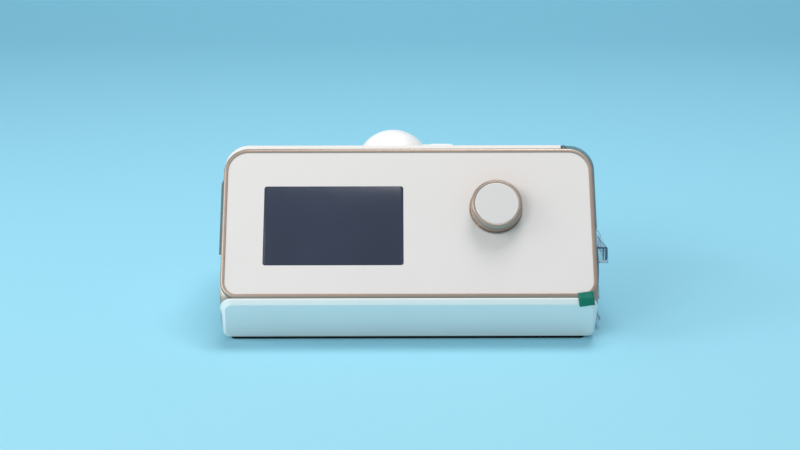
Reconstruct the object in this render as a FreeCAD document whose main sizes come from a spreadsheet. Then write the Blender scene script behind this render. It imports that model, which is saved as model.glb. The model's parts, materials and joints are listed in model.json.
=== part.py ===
"""Bedside positive-airway-pressure machine with a slide-in humidifier tank.

Millimetres.  X runs to the right, -Y to the front, +Z up.  The origin is the middle of the
surface that the machine stands on, under the middle of the whole machine.  The features are
drawn round the middle of the casing, and each finished sub-part is then moved by reach_offset,
because the latch reaches further out on the right than the filter cover does on the left.
"""
import FreeCAD, Part
import math
import os
import re

import Sketcher
from FreeCAD import Placement, Rotation, Vector

doc = FreeCAD.newDocument("AirwayMachine")

# ---------------------------------------------------------------------------------------------
# Driving dimensions
# ---------------------------------------------------------------------------------------------
SIZES = [
    # casing
    ("body_width", 260.0), ("body_depth", 168.0), ("foot_gap", 1.8), ("nose_height", 36.5),
    ("panel_slope", 109.4), ("tilt", 34.0), ("top_fall", 12.8), ("shell_wall", 2.4),
    ("roof_radius", 17.0), ("roof_lift", 2.4), ("rear_corner", 18.0), ("seam_gap", 0.4),
    ("belly_radius", 8.0),
    # front fascia under the panel
    ("rim_height", 4.4), ("undercut", 21.0), ("fascia_depth", 34.0), ("fascia_wall", 2.2),
    ("fascia_corner", 9.0), ("rim_round", 0.8), ("fascia_low_corner", 4.5), ("fascia_bevel", 3.0),
    ("shoulder_set", 8.0), ("corner_web", 13.8),
    # leaning panel, its frame and the display
    ("ring_step", 0.3), ("ring_face", 2.9), ("ring_depth", 6.0), ("ring_proud", 0.5),
    ("ring_top_radius", 17.0), ("ring_low_radius", 11.5), ("ring_round", 1.6),
    ("ring_inner_round", 0.3), ("plate_thick", 2.6), ("fit_gap", 0.1),
    ("window_width", 97.0), ("window_height", 57.6),
    ("window_across", -52.3), ("window_up", 52.2), ("window_radius", 1.8),
    ("lens_thick", 1.4), ("lens_sink", 0.2), ("lens_lip", 2.0), ("module_margin", 4.0),
    ("module_thick", 4.2), ("board_gap", 2.0), ("board_thick", 1.6), ("board_margin", 7.0),
    ("post_radius", 2.2),
    # turning knob with push switch
    ("knob_across", 60.7), ("knob_up", 64.3), ("knob_radius", 17.8), ("knob_height", 11.6),
    ("cap_radius", 15.2), ("cap_thick", 2.0), ("cap_round", 0.6), ("knob_bevel", 1.4),
    ("knob_wall", 2.0), ("press_travel", 0.8), ("press_room", 0.4), ("shaft_radius", 3.0),
    ("turn_clear", 0.05), ("sleeve_radius", 4.2), ("bush_radius", 5.4),
    ("base_ring_radius", 18.6), ("base_ring_width", 4.4), ("base_ring_height", 1.2),
    ("encoder_size", 14.0), ("encoder_height", 5.6), ("skirt_height", 3.8),
    ("skirt_step", 1.2), ("front_drop", 2.2),
    # tape tab on the lower right corner
    ("tab_width", 10.4), ("tab_rise", 4.0), ("tab_drop", 6.4), ("tab_thick", 0.25),
    ("tab_inset", 9.0), ("tab_lift", 0.05),
    # humidifier bay, tank and lid
    ("bay_reach", 109.0), ("lid_overhang", 1.6), ("bay_wall", 2.0), ("bay_front_set", 6.8),
    ("bay_back_set", 24.0), ("bay_floor", 16.0), ("bay_roof", 85.0), ("tank_clear", 1.0),
    ("tank_wall", 2.2), ("end_low", 6.6), ("end_proud", 0.9), ("end_thick", 2.6),
    ("lid_low", 75.5), ("lid_wall", 2.2), ("lid_proud", 1.6), ("lid_sink", 0.5),
    ("lid_width", 21.5), ("lid_barrel", 2.3),
    ("neck_inset", 5.0), ("neck_drop", 5.4), ("ear_width", 4.0), ("hinge_inset", 4.2),
    ("lip_proud", 6.0), ("lip_height", 15.0), ("lip_inset", 16.0),
    ("pin_radius", 1.0), ("port_radius", 8.0), ("port_set", 34.0), ("port_low", 36.0),
    ("port_drop", 15.0), ("seal_width", 2.4), ("seal_thick", 0.9), ("well_plate", 1.0),
    ("heater_thick", 3.0), ("heater_inset", 9.0),
    # latch on the lid
    ("latch_set", 7.5), ("latch_length", 38.0), ("latch_reach", 11.7), ("latch_wall", 1.8),
    ("grip_top", 59.2), ("grip_low", 48.2), ("latch_clear", 0.35), ("latch_barrel", 1.1),
    ("latch_pin", 0.6), ("latch_ear", 2.4),
    # air outlet
    ("swing_room", 2.5), ("notch_floor", 87.6),
    ("outlet_set_across", 31.8), ("outlet_set_back", 32.0), ("outlet_radius", 11.0),
    ("outlet_bore", 9.0), ("outlet_seat", 16.0), ("outlet_relief", 0.4), ("outlet_reach", 44.9),
    ("dome_radius", 28.4), ("dome_top", 124.9), ("outlet_axis", 103.3),
    ("collar_radius", 15.0), ("collar_bore", 13.0), ("collar_rise", 1.0),
    ("collar_depth", 11.0), ("spigot_wall", 2.0),
    ("spigot_depth", 9.0), ("dome_wall", 2.2), ("dome_lift", 0.5), ("duct_wall", 1.6),
    # blower
    ("blower_set_across", 69.0), ("blower_set_back", 90.0), ("blower_radius", 42.0),
    ("blower_base", 15.0), ("blower_height", 34.0), ("blower_wall", 2.2), ("eye_radius", 15.0),
    ("impeller_radius", 31.0), ("hub_radius", 9.0), ("disc_thick", 2.0), ("blade_height", 8.0),
    ("blade_thick", 1.4), ("blade_count", 9), ("motor_radius", 17.0), ("motor_height", 13.0),
    ("spindle_radius", 1.5), ("run_gap", 1.2), ("mount_radius", 5.0), ("mount_circle", 34.0),
    # inlet filter and its cover
    ("cover_low", 57.0), ("cover_high", 103.0), ("cover_end", 96.0), ("cover_thick", 2.0),
    ("cover_set", 9.0), ("cover_corner", 3.0), ("cover_barrel", 1.0), ("cover_pin", 0.6),
    ("knuckle_length", 2.6), ("filter_margin", 7.0), ("filter_thick", 8.0), ("tray_wall", 1.6),
    ("louvre_width", 2.2), ("louvre_pitch", 4.8), ("louvre_margin", 6.0), ("louvre_count", 7),
    ("intake_half", 14.0),
    # electronics, feet and fasteners
    ("main_set", 11.0), ("main_width", 84.0), ("main_set_back", 20.0), ("main_low", 10.0),
    ("main_high", 62.0), ("standoff_radius", 3.0), ("standoff_inset", 6.0),
    ("jack_set", 20.0), ("jack_up", 22.0), ("jack_radius", 5.5), ("jack_bore", 3.2),
    ("jack_depth", 12.0), ("foot_radius", 8.0), ("foot_inset", 22.0),
    ("foot_set_back", 18.0), ("foot_thick", 3.0), ("screw_radius", 1.5), ("screw_head", 3.0),
    ("head_thick", 2.0), ("screw_length", 14.0), ("screw_sink", 3.2), ("boss_radius", 5.0),
    ("boss_top", 10.0), ("post_top", 58.0), ("screw_clear", 0.1),
    ("screw_set_front", 20.0), ("screw_set_rear", 38.0), ("web_thick", 2.0),
    ("post_inset", 2.5),
]

# Lengths and places that follow from the driving dimensions
DERIVED = {
    "reach_offset": "(latch_reach - cover_thick - fit_gap)/2",
    "side": "body_width/2",
    "nose_back": "-body_depth/2",
    "rear": "body_depth/2",
    "ring_width": "body_width - 2*ring_step",
    "tab_across": "ring_width/2 - tab_inset",
    "ridge_back": "nose_back + panel_slope*sin(tilt)",
    "ridge_height": "nose_height + panel_slope*cos(tilt) + roof_lift",
    "lean": "tan(tilt)",
    "fall": "tan(top_fall)",
    "seat": "(ring_depth + seam_gap)/cos(tilt)",
    "fascia_back": "nose_back + fascia_depth",
    "fascia_top": "nose_height - seam_gap",
    "split_height": "nose_height - (ring_depth + seam_gap)*sin(tilt)",
    "ledge_height": "split_height - seam_gap",
    "rim_low": "fascia_top - rim_height",
    "fascia_skin": "fascia_wall*sqrt(1 + (undercut/(rim_low - foot_gap))^2)",
    "wall_in": "side - shell_wall",
    "plate_inset": "ring_face + fit_gap",
    "window_left": "window_across - window_width/2",
    "window_right": "window_across + window_width/2",
    "window_low": "window_up - window_height/2",
    "window_high": "window_up + window_height/2",
    "module_left": "window_left - module_margin",
    "module_right": "window_right + module_margin",
    "module_low": "window_low - module_margin",
    "module_high": "window_high + module_margin",
    "board_front": "-(plate_thick + module_thick + board_gap)",
    "board_left": "module_left - board_margin",
    "board_right": "knob_across + encoder_size/2 + board_margin",
    "board_low": "module_low - board_margin",
    "board_high": "module_high + board_margin",
    "knob_low": "base_ring_height + press_travel + press_room",
    "skirt_top": "knob_low + skirt_height",
    "cap_low": "knob_height - cap_thick",
    "body_radius": "knob_radius - skirt_step",
    "lid_at": "side - lid_width",
    "lid_outer": "side + lid_proud",
    "bay_wall_at": "lid_at - lid_overhang",
    "bay_inner": "side - bay_reach",
    "bay_front": "ridge_back + bay_front_set",
    "bay_back": "rear - bay_back_set",
    "hinge_front": "(tub_front - ridge_back)/cos(top_fall) + hinge_inset/4",
    "hinge_rear": "(bay_back - ridge_back)/cos(top_fall) - hinge_inset",
    "outlet_across": "bay_inner - outlet_set_across",
    "outlet_back": "rear - outlet_set_back",
    "notch_left": "outlet_across - outlet_reach - swing_room",
    "notch_right": "outlet_across + outlet_reach + swing_room",
    "notch_front": "outlet_back - dome_radius - swing_room",
    "blower_across": "blower_set_across - side",
    "blower_back": "nose_back + blower_set_back",
    "port_back": "blower_back + port_set",
    "port_high": "bay_roof - port_drop",
    "cover_back": "nose_back + cover_end",
    "main_left": "main_set - side",
    "main_right": "main_left + main_width",
    "main_back": "rear - main_set_back",
    "jack_across": "main_left + jack_set",
    "foot_rear": "rear - foot_set_back",
    "screw_front": "fascia_back + screw_set_front",
    "screw_rear": "rear - screw_set_rear",
    "end_front": "fascia_back + seam_gap",
    "end_outer": "side + end_proud",
    "end_inner": "end_outer - end_thick",
    "lid_back": "bay_back - seam_gap",
    "lid_under": "lid_sink + lid_wall + neck_drop",
    "tub_left": "bay_inner + bay_wall + tank_clear",
    "tub_front": "bay_front + bay_wall + tank_clear",
    "tub_back": "bay_back - bay_wall - tank_clear",
    "heater_top": "bay_floor + bay_wall + heater_thick",
    "tub_low": "heater_top + seam_gap",
    "tub_high": "bay_roof - bay_wall - tank_clear",
    "neck_left": "bay_wall_at + tank_clear",
    "neck_right": "lid_outer - lid_wall - neck_inset",
    "hinge_across": "lid_at + seam_gap + lid_barrel",
    "latch_across": "lid_outer - latch_barrel",
    "latch_up": "lid_low + latch_barrel + latch_clear",
    "latch_outer": "side + latch_reach",
    "lid_front": "nose_back + (ring_depth + seam_gap*2)/cos(tilt) + (lid_low - nose_height)*lean",
    "latch_front": "lid_front + latch_set",
    "latch_back": "latch_front + latch_length",
    "dome_centre": "dome_top - dome_radius",
    "dome_low": "notch_floor + collar_rise + dome_lift",
    "blower_top": "blower_base + blower_height",
    "motor_low": "blower_base + blower_wall",
    "motor_top": "motor_low + motor_height",
    "disc_low": "motor_top + run_gap",
    "cover_outer": "-side - cover_thick - fit_gap",
    "cover_inner": "-side - fit_gap",
    "cover_axis": "-side - fit_gap - cover_barrel",
    "hinge_level": "cover_low + cover_barrel",
    "tray_low": "cover_low + filter_margin",
    "tray_high": "cover_high - filter_margin",
    "tray_back": "cover_back - filter_margin",
    "tray_inner": "-wall_in + filter_thick + tray_wall",
    "main_front": "main_back - board_thick",
    "post_reach": "wall_in - boss_radius - post_inset",
    "bay_post": "bay_wall_at - bay_wall/2 - boss_radius",
}


def top_at(back, inset=0):
    """Height of the sloping roof at a distance back, or of a face under it."""
    return f"(ridge_height - ({back} - ridge_back)*fall - ({inset})/cos(top_fall))"


def behind_panel(height, inset):
    """How far back a plane parallel to the panel lies at a height."""
    return f"(nose_back + ({inset})/cos(tilt) + ({height} - nose_height)*lean)"


# ---------------------------------------------------------------------------------------------
# The sheet, and links from a feature's sizes to it
# ---------------------------------------------------------------------------------------------
sheet = doc.addObject("Spreadsheet::Sheet", "Sizes")
for row, (alias, number) in enumerate(SIZES, start=1):
    sheet.set(f"A{row}", alias)
    sheet.set(f"B{row}", str(number))
    sheet.setAlias(f"B{row}", alias)
doc.recompute()
ALIASES = {alias for alias, number in SIZES}


def link(text):
    """Turn the plain words of an expression into references to the sheet."""
    def swap(match):
        word = match.group()
        if word in DERIVED:
            return "(" + link(DERIVED[word]) + ")"
        return f"Sizes.{word}" if word in ALIASES else word
    return re.sub(r"[a-z_]+", swap, str(text))


def value(text):
    """The number that an expression stands for."""
    return float(sheet.evalExpression(link(text)))


def bind(feature, **sizes):
    """Bind properties of a feature, with __ for a dot in the property's path."""
    for path, text in sizes.items():
        feature.setExpression(path.replace("__", "."), link(text))


def place(feature, across=0, back=0, height=0):
    """Bind the place of a feature."""
    bind(feature, Placement__Base__x=across, Placement__Base__y=back, Placement__Base__z=height)
    return feature


# Sketch planes: the sketch's own X and Y, and the direction that it is extruded in
PLANES = {
    "plan": (Rotation(), Vector(0, 0, 1)),
    "side": (Rotation(Vector(1, 1, 1), 120), Vector(1, 0, 0)),
    "front": (Rotation(Vector(1, 0, 0), 90), Vector(0, 1, 0)),
}


def outline(sketch, corners):
    """Add a closed outline; a corner is (across, up) or (across, up, radius) in words."""
    spots = [Vector(value(corner[0]), value(corner[1]), 0) for corner in corners]
    radii = [value(corner[2]) if len(corner) > 2 else 0.0 for corner in corners]
    count = len(corners)
    starts, ends, middles = [], [], []
    for index in range(count):
        here = spots[index]
        before = (spots[index - 1] - here).normalize()
        after = (spots[(index + 1) % count] - here).normalize()
        half = before.getAngle(after)/2
        reach = radii[index]/math.tan(half)
        centre_at = radii[index]/math.sin(half)
        middle = (before + after).normalize()
        ends.append(here + before*reach)
        starts.append(here + after*reach)
        middles.append(here + middle*(centre_at - radii[index]))
    lines = []
    for index in range(count):
        following = (index + 1) % count
        segment = Part.LineSegment(starts[index], ends[following])
        lines.append(sketch.addGeometry(segment, False))
    for index, corner in enumerate(corners):
        coming, leaving = lines[index - 1], lines[index]
        if len(corner) == 2:
            sketch.addConstraint(Sketcher.Constraint("Coincident", coming, 2, leaving, 1))
            anchor, spot = leaving, 1
        else:
            arc = Part.Arc(ends[index], middles[index], starts[index])
            bend = sketch.addGeometry(arc, False)
            turn = (spots[index] - spots[index - 1]).cross(spots[(index + 1) % count] - spots[index])
            first, last = (1, 2) if turn.z > 0 else (2, 1)
            sketch.addConstraint(Sketcher.Constraint("Tangent", coming, 2, bend, first))
            sketch.addConstraint(Sketcher.Constraint("Tangent", leaving, 1, bend, last))
            radius = sketch.addConstraint(Sketcher.Constraint("Radius", bend, radii[index]))
            sketch.setExpression(f"Constraints[{radius}]", link(corner[2]))
            anchor = sketch.addGeometry(Part.Point(spots[index]), True)
            spot = 1
            for straight in (coming, leaving):
                sketch.addConstraint(Sketcher.Constraint("PointOnObject", anchor, 1, straight))
        for kind, text, number in (("DistanceX", corner[0], spots[index].x),
                                   ("DistanceY", corner[1], spots[index].y)):
            held = sketch.addConstraint(Sketcher.Constraint(kind, -1, 1, anchor, spot, number))
            sketch.setExpression(f"Constraints[{held}]", link(text))


def rectangle(sketch, low, high, radius=None):
    """Add an upright rectangle from one corner to the other."""
    corners = [(low[0], low[1]), (high[0], low[1]), (high[0], high[1]), (low[0], high[1])]
    if radius is not None:
        corners = [corner + (radius,) for corner in corners]
    outline(sketch, corners)


def circle(sketch, across, up, radius):
    """Add a circle."""
    spot = Vector(value(across), value(up), 0)
    ring = sketch.addGeometry(Part.Circle(spot, Vector(0, 0, 1), value(radius)), False)
    held = sketch.addConstraint(Sketcher.Constraint("Radius", ring, value(radius)))
    sketch.setExpression(f"Constraints[{held}]", link(radius))
    for kind, text, number in (("DistanceX", across, spot.x), ("DistanceY", up, spot.y)):
        held = sketch.addConstraint(Sketcher.Constraint(kind, -1, 1, ring, 3, number))
        sketch.setExpression(f"Constraints[{held}]", link(text))


def new_sketch(name, plane, start=0):
    """A sketch on one of the three planes, moved along its own direction."""
    sketch = doc.addObject("Sketcher::SketchObject", name + "_sketch")
    turn, direction = PLANES[plane]
    sketch.Placement = Placement(Vector(), turn)
    axis = {"plan": "z", "side": "x", "front": "y"}[plane]
    sketch.setExpression("Placement.Base." + axis, link(start))
    return sketch


def extrude(name, plane, start, length, draw):
    """Extrude what draw(sketch) draws, from start, along the plane's direction."""
    sketch = new_sketch(name, plane, start)
    draw(sketch)
    solid = doc.addObject("Part::Extrusion", name)
    solid.Base = sketch
    solid.DirMode = "Custom"
    solid.Dir = PLANES[plane][1]
    solid.Solid = True
    solid.setExpression("LengthFwd", link(length))
    return solid


def prism(name, plane, start, end, corners):
    """Extrude a closed outline between two places."""
    return extrude(name, plane, start, f"({end}) - ({start})",
                   lambda sketch: outline(sketch, corners))


def block(name, across, back, height):
    """A plain box between three pairs of places."""
    solid = doc.addObject("Part::Box", name)
    pairs = (("Length", "x", across), ("Width", "y", back), ("Height", "z", height))
    for size, axis, (low, high) in pairs:
        solid.setExpression(size, link(f"({high}) - ({low})"))
        solid.setExpression("Placement.Base." + axis, link(low))
    return solid


def rod(name, radius, length, across=0, back=0, height=0, along="z"):
    """A cylinder that starts at a place and runs along one axis."""
    solid = doc.addObject("Part::Cylinder", name)
    turns = {"z": Rotation(), "x": Rotation(Vector(0, 1, 0), 90),
             "y": Rotation(Vector(1, 0, 0), -90)}
    solid.Placement = Placement(Vector(), turns[along])
    bind(solid, Radius=radius, Height=length)
    return place(solid, across, back, height)


def cut(name, base, *tools):
    """Take tools out of a base."""
    result = doc.addObject("Part::Cut", name)
    result.Base = base
    result.Tool = tools[0] if len(tools) == 1 else fuse(name + "_tools", *tools)
    return result


def fuse(name, *solids):
    """Join solids into one."""
    result = doc.addObject("Part::MultiFuse", name)
    result.Shapes = list(solids)
    result.Refine = True
    return result


def common(name, *solids):
    """What solids share."""
    result = doc.addObject("Part::MultiCommon", name)
    result.Shapes = list(solids)
    return result


def group(name, solids):
    """Separate solids that belong to one sub-part."""
    result = doc.addObject("Part::Compound", name)
    result.Links = list(solids)
    return result


PARTS = []


def keep(feature, label):
    """List a finished sub-part, placed so that the origin is under the machine's middle."""
    placed = doc.addObject("Part::Compound", "placed_" + label)
    placed.Links = [feature]
    place(placed, "-reach_offset")
    placed.Label = label
    PARTS.append(placed)
    return placed


def on_panel(feature):
    """Move a feature from the panel's own axes to its place on the leaning front."""
    feature.Placement = Placement(Vector(), Rotation(Vector(1, 0, 0), 90 - value("tilt")))
    feature.setExpression("Placement.Rotation.Angle", link("90 - tilt"))
    return place(feature, 0, "nose_back", "nose_height")


# PartDesign helpers ---------------------------------------------------------------------------
ROLES = {"plan": "XY_Plane", "front": "XZ_Plane", "side": "YZ_Plane"}


def body_sketch(body, name, plane, offset=0):
    """A sketch on one of the body's own origin planes."""
    sketch = body.newObject("Sketcher::SketchObject", name)
    support = [item for item in body.Origin.OriginFeatures if item.Role == ROLES[plane]][0]
    sketch.AttachmentSupport = (support, [""])
    sketch.MapMode = "FlatFace"
    sketch.setExpression("AttachmentOffset.Base.z", link(offset))
    return sketch


def pad(body, name, length, draw, plane="plan", offset=0):
    """Add material."""
    feature = body.newObject("PartDesign::Pad", name)
    feature.Profile = body_sketch(body, name + "_sketch", plane, offset)
    draw(feature.Profile[0])
    feature.setExpression("Length", link(length))
    return feature


def pocket(body, name, depth, draw, plane="plan", offset=0, upward=True):
    """Take material away, upward or downward from the sketch."""
    feature = body.newObject("PartDesign::Pocket", name)
    feature.Profile = body_sketch(body, name + "_sketch", plane, offset)
    draw(feature.Profile[0])
    feature.Reversed = upward
    feature.setExpression("Length", link(depth))
    return feature


def revolve(body, name, corners):
    """Turn an outline in the XZ plane round the body's vertical axis."""
    sketch = body_sketch(body, name + "_sketch", "front")
    outline(sketch, corners)
    feature = body.newObject("PartDesign::Revolution", name)
    feature.Profile = sketch
    feature.ReferenceAxis = (sketch, ["V_Axis"])
    feature.Angle = 360
    return feature


def new_body(name):
    """An empty PartDesign body."""
    return doc.addObject("PartDesign::Body", name)


def on_roof(feature):
    """Move a feature from the roof's own axes, which start at the ridge, to its place."""
    feature.Placement = Placement(Vector(), Rotation(Vector(1, 0, 0), -value("top_fall")))
    feature.setExpression("Placement.Rotation.Angle", link("top_fall"))
    feature.Placement.Rotation.Axis = Vector(-1, 0, 0)
    return place(feature, 0, "ridge_back", "ridge_height")


# ---------------------------------------------------------------------------------------------
# Casing
# ---------------------------------------------------------------------------------------------
FAR = "body_depth"


def roof_block(name, left, right, inset, left_radius, right_radius):
    """Everything under the sloping roof between two side walls."""
    solid = prism(name, "front", f"-{FAR}", FAR, [
        (left, f"-{FAR}"), (right, f"-{FAR}"),
        (right, f"-({inset})", right_radius), (left, f"-({inset})", left_radius)])
    holder = doc.addObject("Part::Compound", name + "_placed")
    holder.Links = [solid]
    return on_roof(holder)


def plan_block(name, inset):
    """The casing's outline from above, with round rear corners."""
    half = f"(side - ({inset}))"
    back = f"rear - ({inset})"
    radius = f"rear_corner - ({inset})"
    return prism(name, "plan", f"-{FAR}", FAR, [
        (f"-{half}", "nose_back"), (half, "nose_back"),
        (half, back, radius), (f"-{half}", back, radius)])


def belly_block(name, inset):
    """The casing's outline from the front, with round lower corners."""
    half = f"(side - ({inset}))"
    low = f"foot_gap + ({inset})"
    radius = f"belly_radius - ({inset})"
    return prism(name, "front", "nose_back", f"rear - ({inset})", [
        (f"-{half}", low, radius), (half, low, radius), (half, FAR), (f"-{half}", FAR)])


def lower_shell():
    """Tray with the floor, the feet's seats and the bosses for the casing screws."""
    outer = common("tray_outer", plan_block("tray_plan", "0"), belly_block("tray_belly", "0"),
                   block("tray_limits", ("-side", "side"), ("fascia_back", "rear"),
                         ("foot_gap", "split_height - seam_gap")))
    inner = common("tray_inner_space", plan_block("tray_inner_plan", "shell_wall"),
                   belly_block("tray_inner_belly", "shell_wall"),
                   block("tray_inner_limits", ("-side", "side"), ("nose_back", "rear"),
                         ("foot_gap", "split_height")))
    shell = cut("tray_shell", outer, inner)
    bosses, holes = [], []
    for name, across, back in SCREWS:
        bosses.append(rod("boss_" + name, "boss_radius", "boss_top - seam_gap - foot_gap",
                          across, back, "foot_gap"))
        holes.append(rod("bore_" + name, "screw_radius + screw_clear", "boss_top",
                         across, back, "foot_gap"))
        holes.append(rod("sink_" + name, "screw_head + screw_clear", "screw_sink",
                         across, back, "foot_gap"))
    for index, (across, back) in enumerate(FEET):
        holes.append(rod(f"foot_seat_{index}", "foot_radius + fit_gap",
                         "foot_thick - foot_gap", across, back, "foot_gap"))
    for index, across in enumerate(("main_left", "main_right")):
        sign = "+" if index == 0 else "-"
        bosses.append(rod(f"low_standoff_{index}", "standoff_radius",
                          "rear - shell_wall/2 - main_back",
                          f"{across} {sign} standoff_inset", "main_back",
                          "main_low + standoff_inset", "y"))
    side_gap = block("tray_tank_gap", ("wall_in - fit_gap", "side + end_proud"),
                     ("fascia_back", "lid_back + seam_gap"),
                     ("end_low - seam_gap", "split_height"))
    jack_hole = rod("tray_jack_hole", "jack_radius + fit_gap", "shell_wall*3",
                    "jack_across", "rear - shell_wall*2", "jack_up", "y")
    whole = common("tray_trimmed", fuse("tray_whole", shell, *bosses), outer)
    return keep(cut("lower_shell_solid", whole, *holes, side_gap, jack_hole), "lower_shell")


def upper_shell():
    """Roof, left wall and rear wall, cut away for the tank and the air outlet.

    The corner behind the tank is a moulding of its own, the rear cheek.
    """
    outer = common(
        "shell_outer", roof_block("shell_roof", "-side", "side", "0", "roof_radius",
                                  "roof_radius"),
        plan_block("shell_plan", "0"),
        prism("shell_side", "side", "-side", "side", [
            (behind_panel("split_height", "ring_depth + seam_gap"), "split_height"),
            ("rear", "split_height"), ("rear", "body_depth"),
            (behind_panel("body_depth", "ring_depth + seam_gap"), "body_depth")]))
    inner = common(
        "shell_inner", roof_block("shell_inner_roof", "-wall_in", "wall_in", "shell_wall",
                                  "roof_radius - shell_wall", "roof_radius - shell_wall"),
        plan_block("shell_inner_plan", "shell_wall"))
    shell = cut("shell_walls", outer, inner)
    notch_box = common("notch_box", fuse_notch("notch", "shell_wall", "rear"), plan_block(
        "notch_plan", "fit_gap"), roof_block("notch_roof", "-side", "side", "fit_gap",
                                             "roof_radius", "roof_radius"))
    web_top = "split_height + corner_web"
    corner = prism("corner_web_plate", "side", "-side", "-side + corner_web", [
        (behind_panel(height, f"ring_depth + seam_gap + {deep}"), height)
        for height, deep in (("split_height", "0"), ("split_height", "shell_wall"),
                             (web_top, "shell_wall"), (web_top, "0"))])
    additions = [shell, notch_box, corner]
    for name, across, back in SCREWS[:3]:
        additions.append(rod("post_" + name, "boss_radius", "post_top - boss_top",
                             across, back, "boss_top"))
        outward = ("-wall_in - fit_gap", "-post_reach") if across == "-post_reach" else (
            "post_reach", "wall_in + fit_gap")
        additions.append(block("web_" + name, outward,
                               (f"{back} - web_thick/2", f"{back} + web_thick/2"),
                               ("split_height", "post_top")))
    for index, across in enumerate(("main_left", "main_right")):
        sign = "+" if index == 0 else "-"
        additions.append(rod(f"high_standoff_{index}", "standoff_radius",
                             "rear - shell_wall/2 - main_back",
                             f"{across} {sign} standoff_inset", "main_back",
                             "main_high - standoff_inset", "y"))
    for index, low in enumerate(KNUCKLES):
        additions.append(block(f"knuckle_{index}", ("cover_outer", "-side + shell_wall/2"),
                               (low, f"{low} + knuckle_length"),
                               ("cover_low", "cover_low + cover_barrel*2")))
    takes = [
        fuse_notch("notch_space", "0", "rear*2"),
        rod("outlet_hole", "collar_radius + fit_gap", "shell_wall*3", "outlet_across",
            "outlet_back", "notch_floor - shell_wall*2"),
        prism("filter_window", "side", "-side*2", "-side + shell_wall*2", [
            (behind_panel("tray_low", "cover_set + filter_margin + tray_wall*2"),
             "tray_low + tray_wall"),
            ("tray_back - tray_wall", "tray_low + tray_wall"),
            ("tray_back - tray_wall", "tray_high - tray_wall"),
            (behind_panel("tray_high", "cover_set + filter_margin + tray_wall*2"),
             "tray_high - tray_wall")]),
        rod("knuckle_bore", "cover_pin + turn_clear", "body_depth", "cover_axis",
            "nose_back", "hinge_level", "y"),
    ]
    for name, across, back in SCREWS[:3]:
        takes.append(rod("pilot_" + name, "screw_radius + turn_clear",
                         "screw_length - (boss_top - foot_gap - screw_sink) + screw_clear",
                         across, back, "boss_top"))
    whole = cut("shell_whole", fuse("shell_joined", *additions), *takes)
    keep(cut("upper_shell_solid", whole, block(
        "tank_side", ("lid_at", "side*2"), ("nose_back", "rear*2"), ("0", FAR))), "upper_shell")
    keep(common("rear_cheek_solid", whole, block(
        "cheek_zone", ("lid_at + fit_gap", "side*2"), ("lid_back + seam_gap", "rear*2"),
        ("0", FAR))), "rear_cheek")


def fuse_notch(name, wall, end):
    """The recess in the rear of the roof that the outlet elbow swings in."""
    return block(name, (f"notch_left - {wall}", f"notch_right + {wall}"),
                 (f"notch_front - {wall}", end), (f"notch_floor - {wall}", FAR))


SCREWS = [
    ("left_front", "-post_reach", "screw_front"),
    ("left_rear", "-post_reach", "screw_rear"),
    ("right_rear", "post_reach", "rear - rear_corner + shell_wall"),
    ("right_front", "bay_post", "screw_front"),
]
FEET = [(across, back) for back in ("fascia_back + foot_radius + shell_wall", "foot_rear")
        for across in ("-(side - foot_inset)", "side - foot_inset")]
KNUCKLES = [behind_panel("hinge_level", "cover_set") + " + filter_margin",
            "cover_back - filter_margin - knuckle_length"]


def fascia_bevel(name, sign):
    """Wedge that slants off the corner between the undercut and one end, to nothing below."""
    over = "seam_gap"
    solid = extrude("fascia_bevel_" + name, "plan", "rim_low", "1", lambda sketch: outline(sketch, [
        (f"{sign}(side + {over})", f"nose_back - {over}"),
        (f"{sign}(side - fascia_bevel - {over})", f"nose_back - {over}"),
        (f"{sign}(side + {over})", f"nose_back + fascia_bevel + {over}")]))
    drop = "(rim_low - foot_gap)"
    run = f"sqrt({drop}^2 + undercut^2 + fascia_bevel^2)"
    solid.DirMode = "Custom"
    bind(solid, LengthFwd=f"{run}*1.1", Dir__x=f"{sign}(fascia_bevel)/{run}", Dir__y=f"undercut/{run}",
         Dir__z=f"-{drop}/{run}")
    return solid


def front_fascia():
    """Undercut nose piece under the panel, with a bright rim along its top."""
    block_outer = common(
        "fascia_block",
        prism("fascia_side", "side", "-side", "side", [
            ("nose_back", "fascia_top", "rim_round"), ("nose_back", "rim_low"),
            ("nose_back + undercut", "foot_gap"), ("fascia_back - seam_gap", "foot_gap"),
            ("fascia_back - seam_gap", "ledge_height"),
            ("nose_back + (fascia_top - ledge_height)/lean", "ledge_height")]),
        fuse("fascia_ends", prism("fascia_front", "front", "nose_back - 1", "fascia_back", [
            ("-side", "foot_gap", "fascia_low_corner"), ("side", "foot_gap", "fascia_low_corner"),
            ("side", "fascia_top", "fascia_corner"), ("-side", "fascia_top", "fascia_corner")]),
            block("fascia_shoulder", ("-side", "side"), ("nose_back + shoulder_set", "fascia_back"),
                  ("fascia_top - fascia_corner", "fascia_top"))))
    outer = cut("fascia_outer", block_outer, fascia_bevel("left", "-"), fascia_bevel("right", ""))
    half = "(side - fascia_wall)"
    ceiling = "(ledge_height - fascia_wall)"
    drop = "(rim_low - foot_gap)"
    inner = common(
        "fascia_inner",
        prism("fascia_inner_side", "side", "-side", "side", [
            (f"nose_back + fascia_skin + undercut*(rim_low - {ceiling})/{drop}", ceiling),
            (f"nose_back + fascia_skin + undercut*(1 - fascia_wall/{drop})",
             "foot_gap + fascia_wall"),
            ("fascia_back", "foot_gap + fascia_wall"), ("fascia_back", ceiling)]),
        prism("fascia_inner_front", "front", "nose_back", "fascia_back", [
            (f"-{half}", "foot_gap + fascia_wall", "fascia_low_corner - fascia_wall"),
            (half, "foot_gap + fascia_wall", "fascia_low_corner - fascia_wall"),
            (half, ceiling, "fascia_corner - fascia_wall"),
            (f"-{half}", ceiling, "fascia_corner - fascia_wall")]))
    return keep(cut("front_fascia_solid", outer, inner), "front_fascia")


lower_shell()
upper_shell()
front_fascia()


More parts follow.
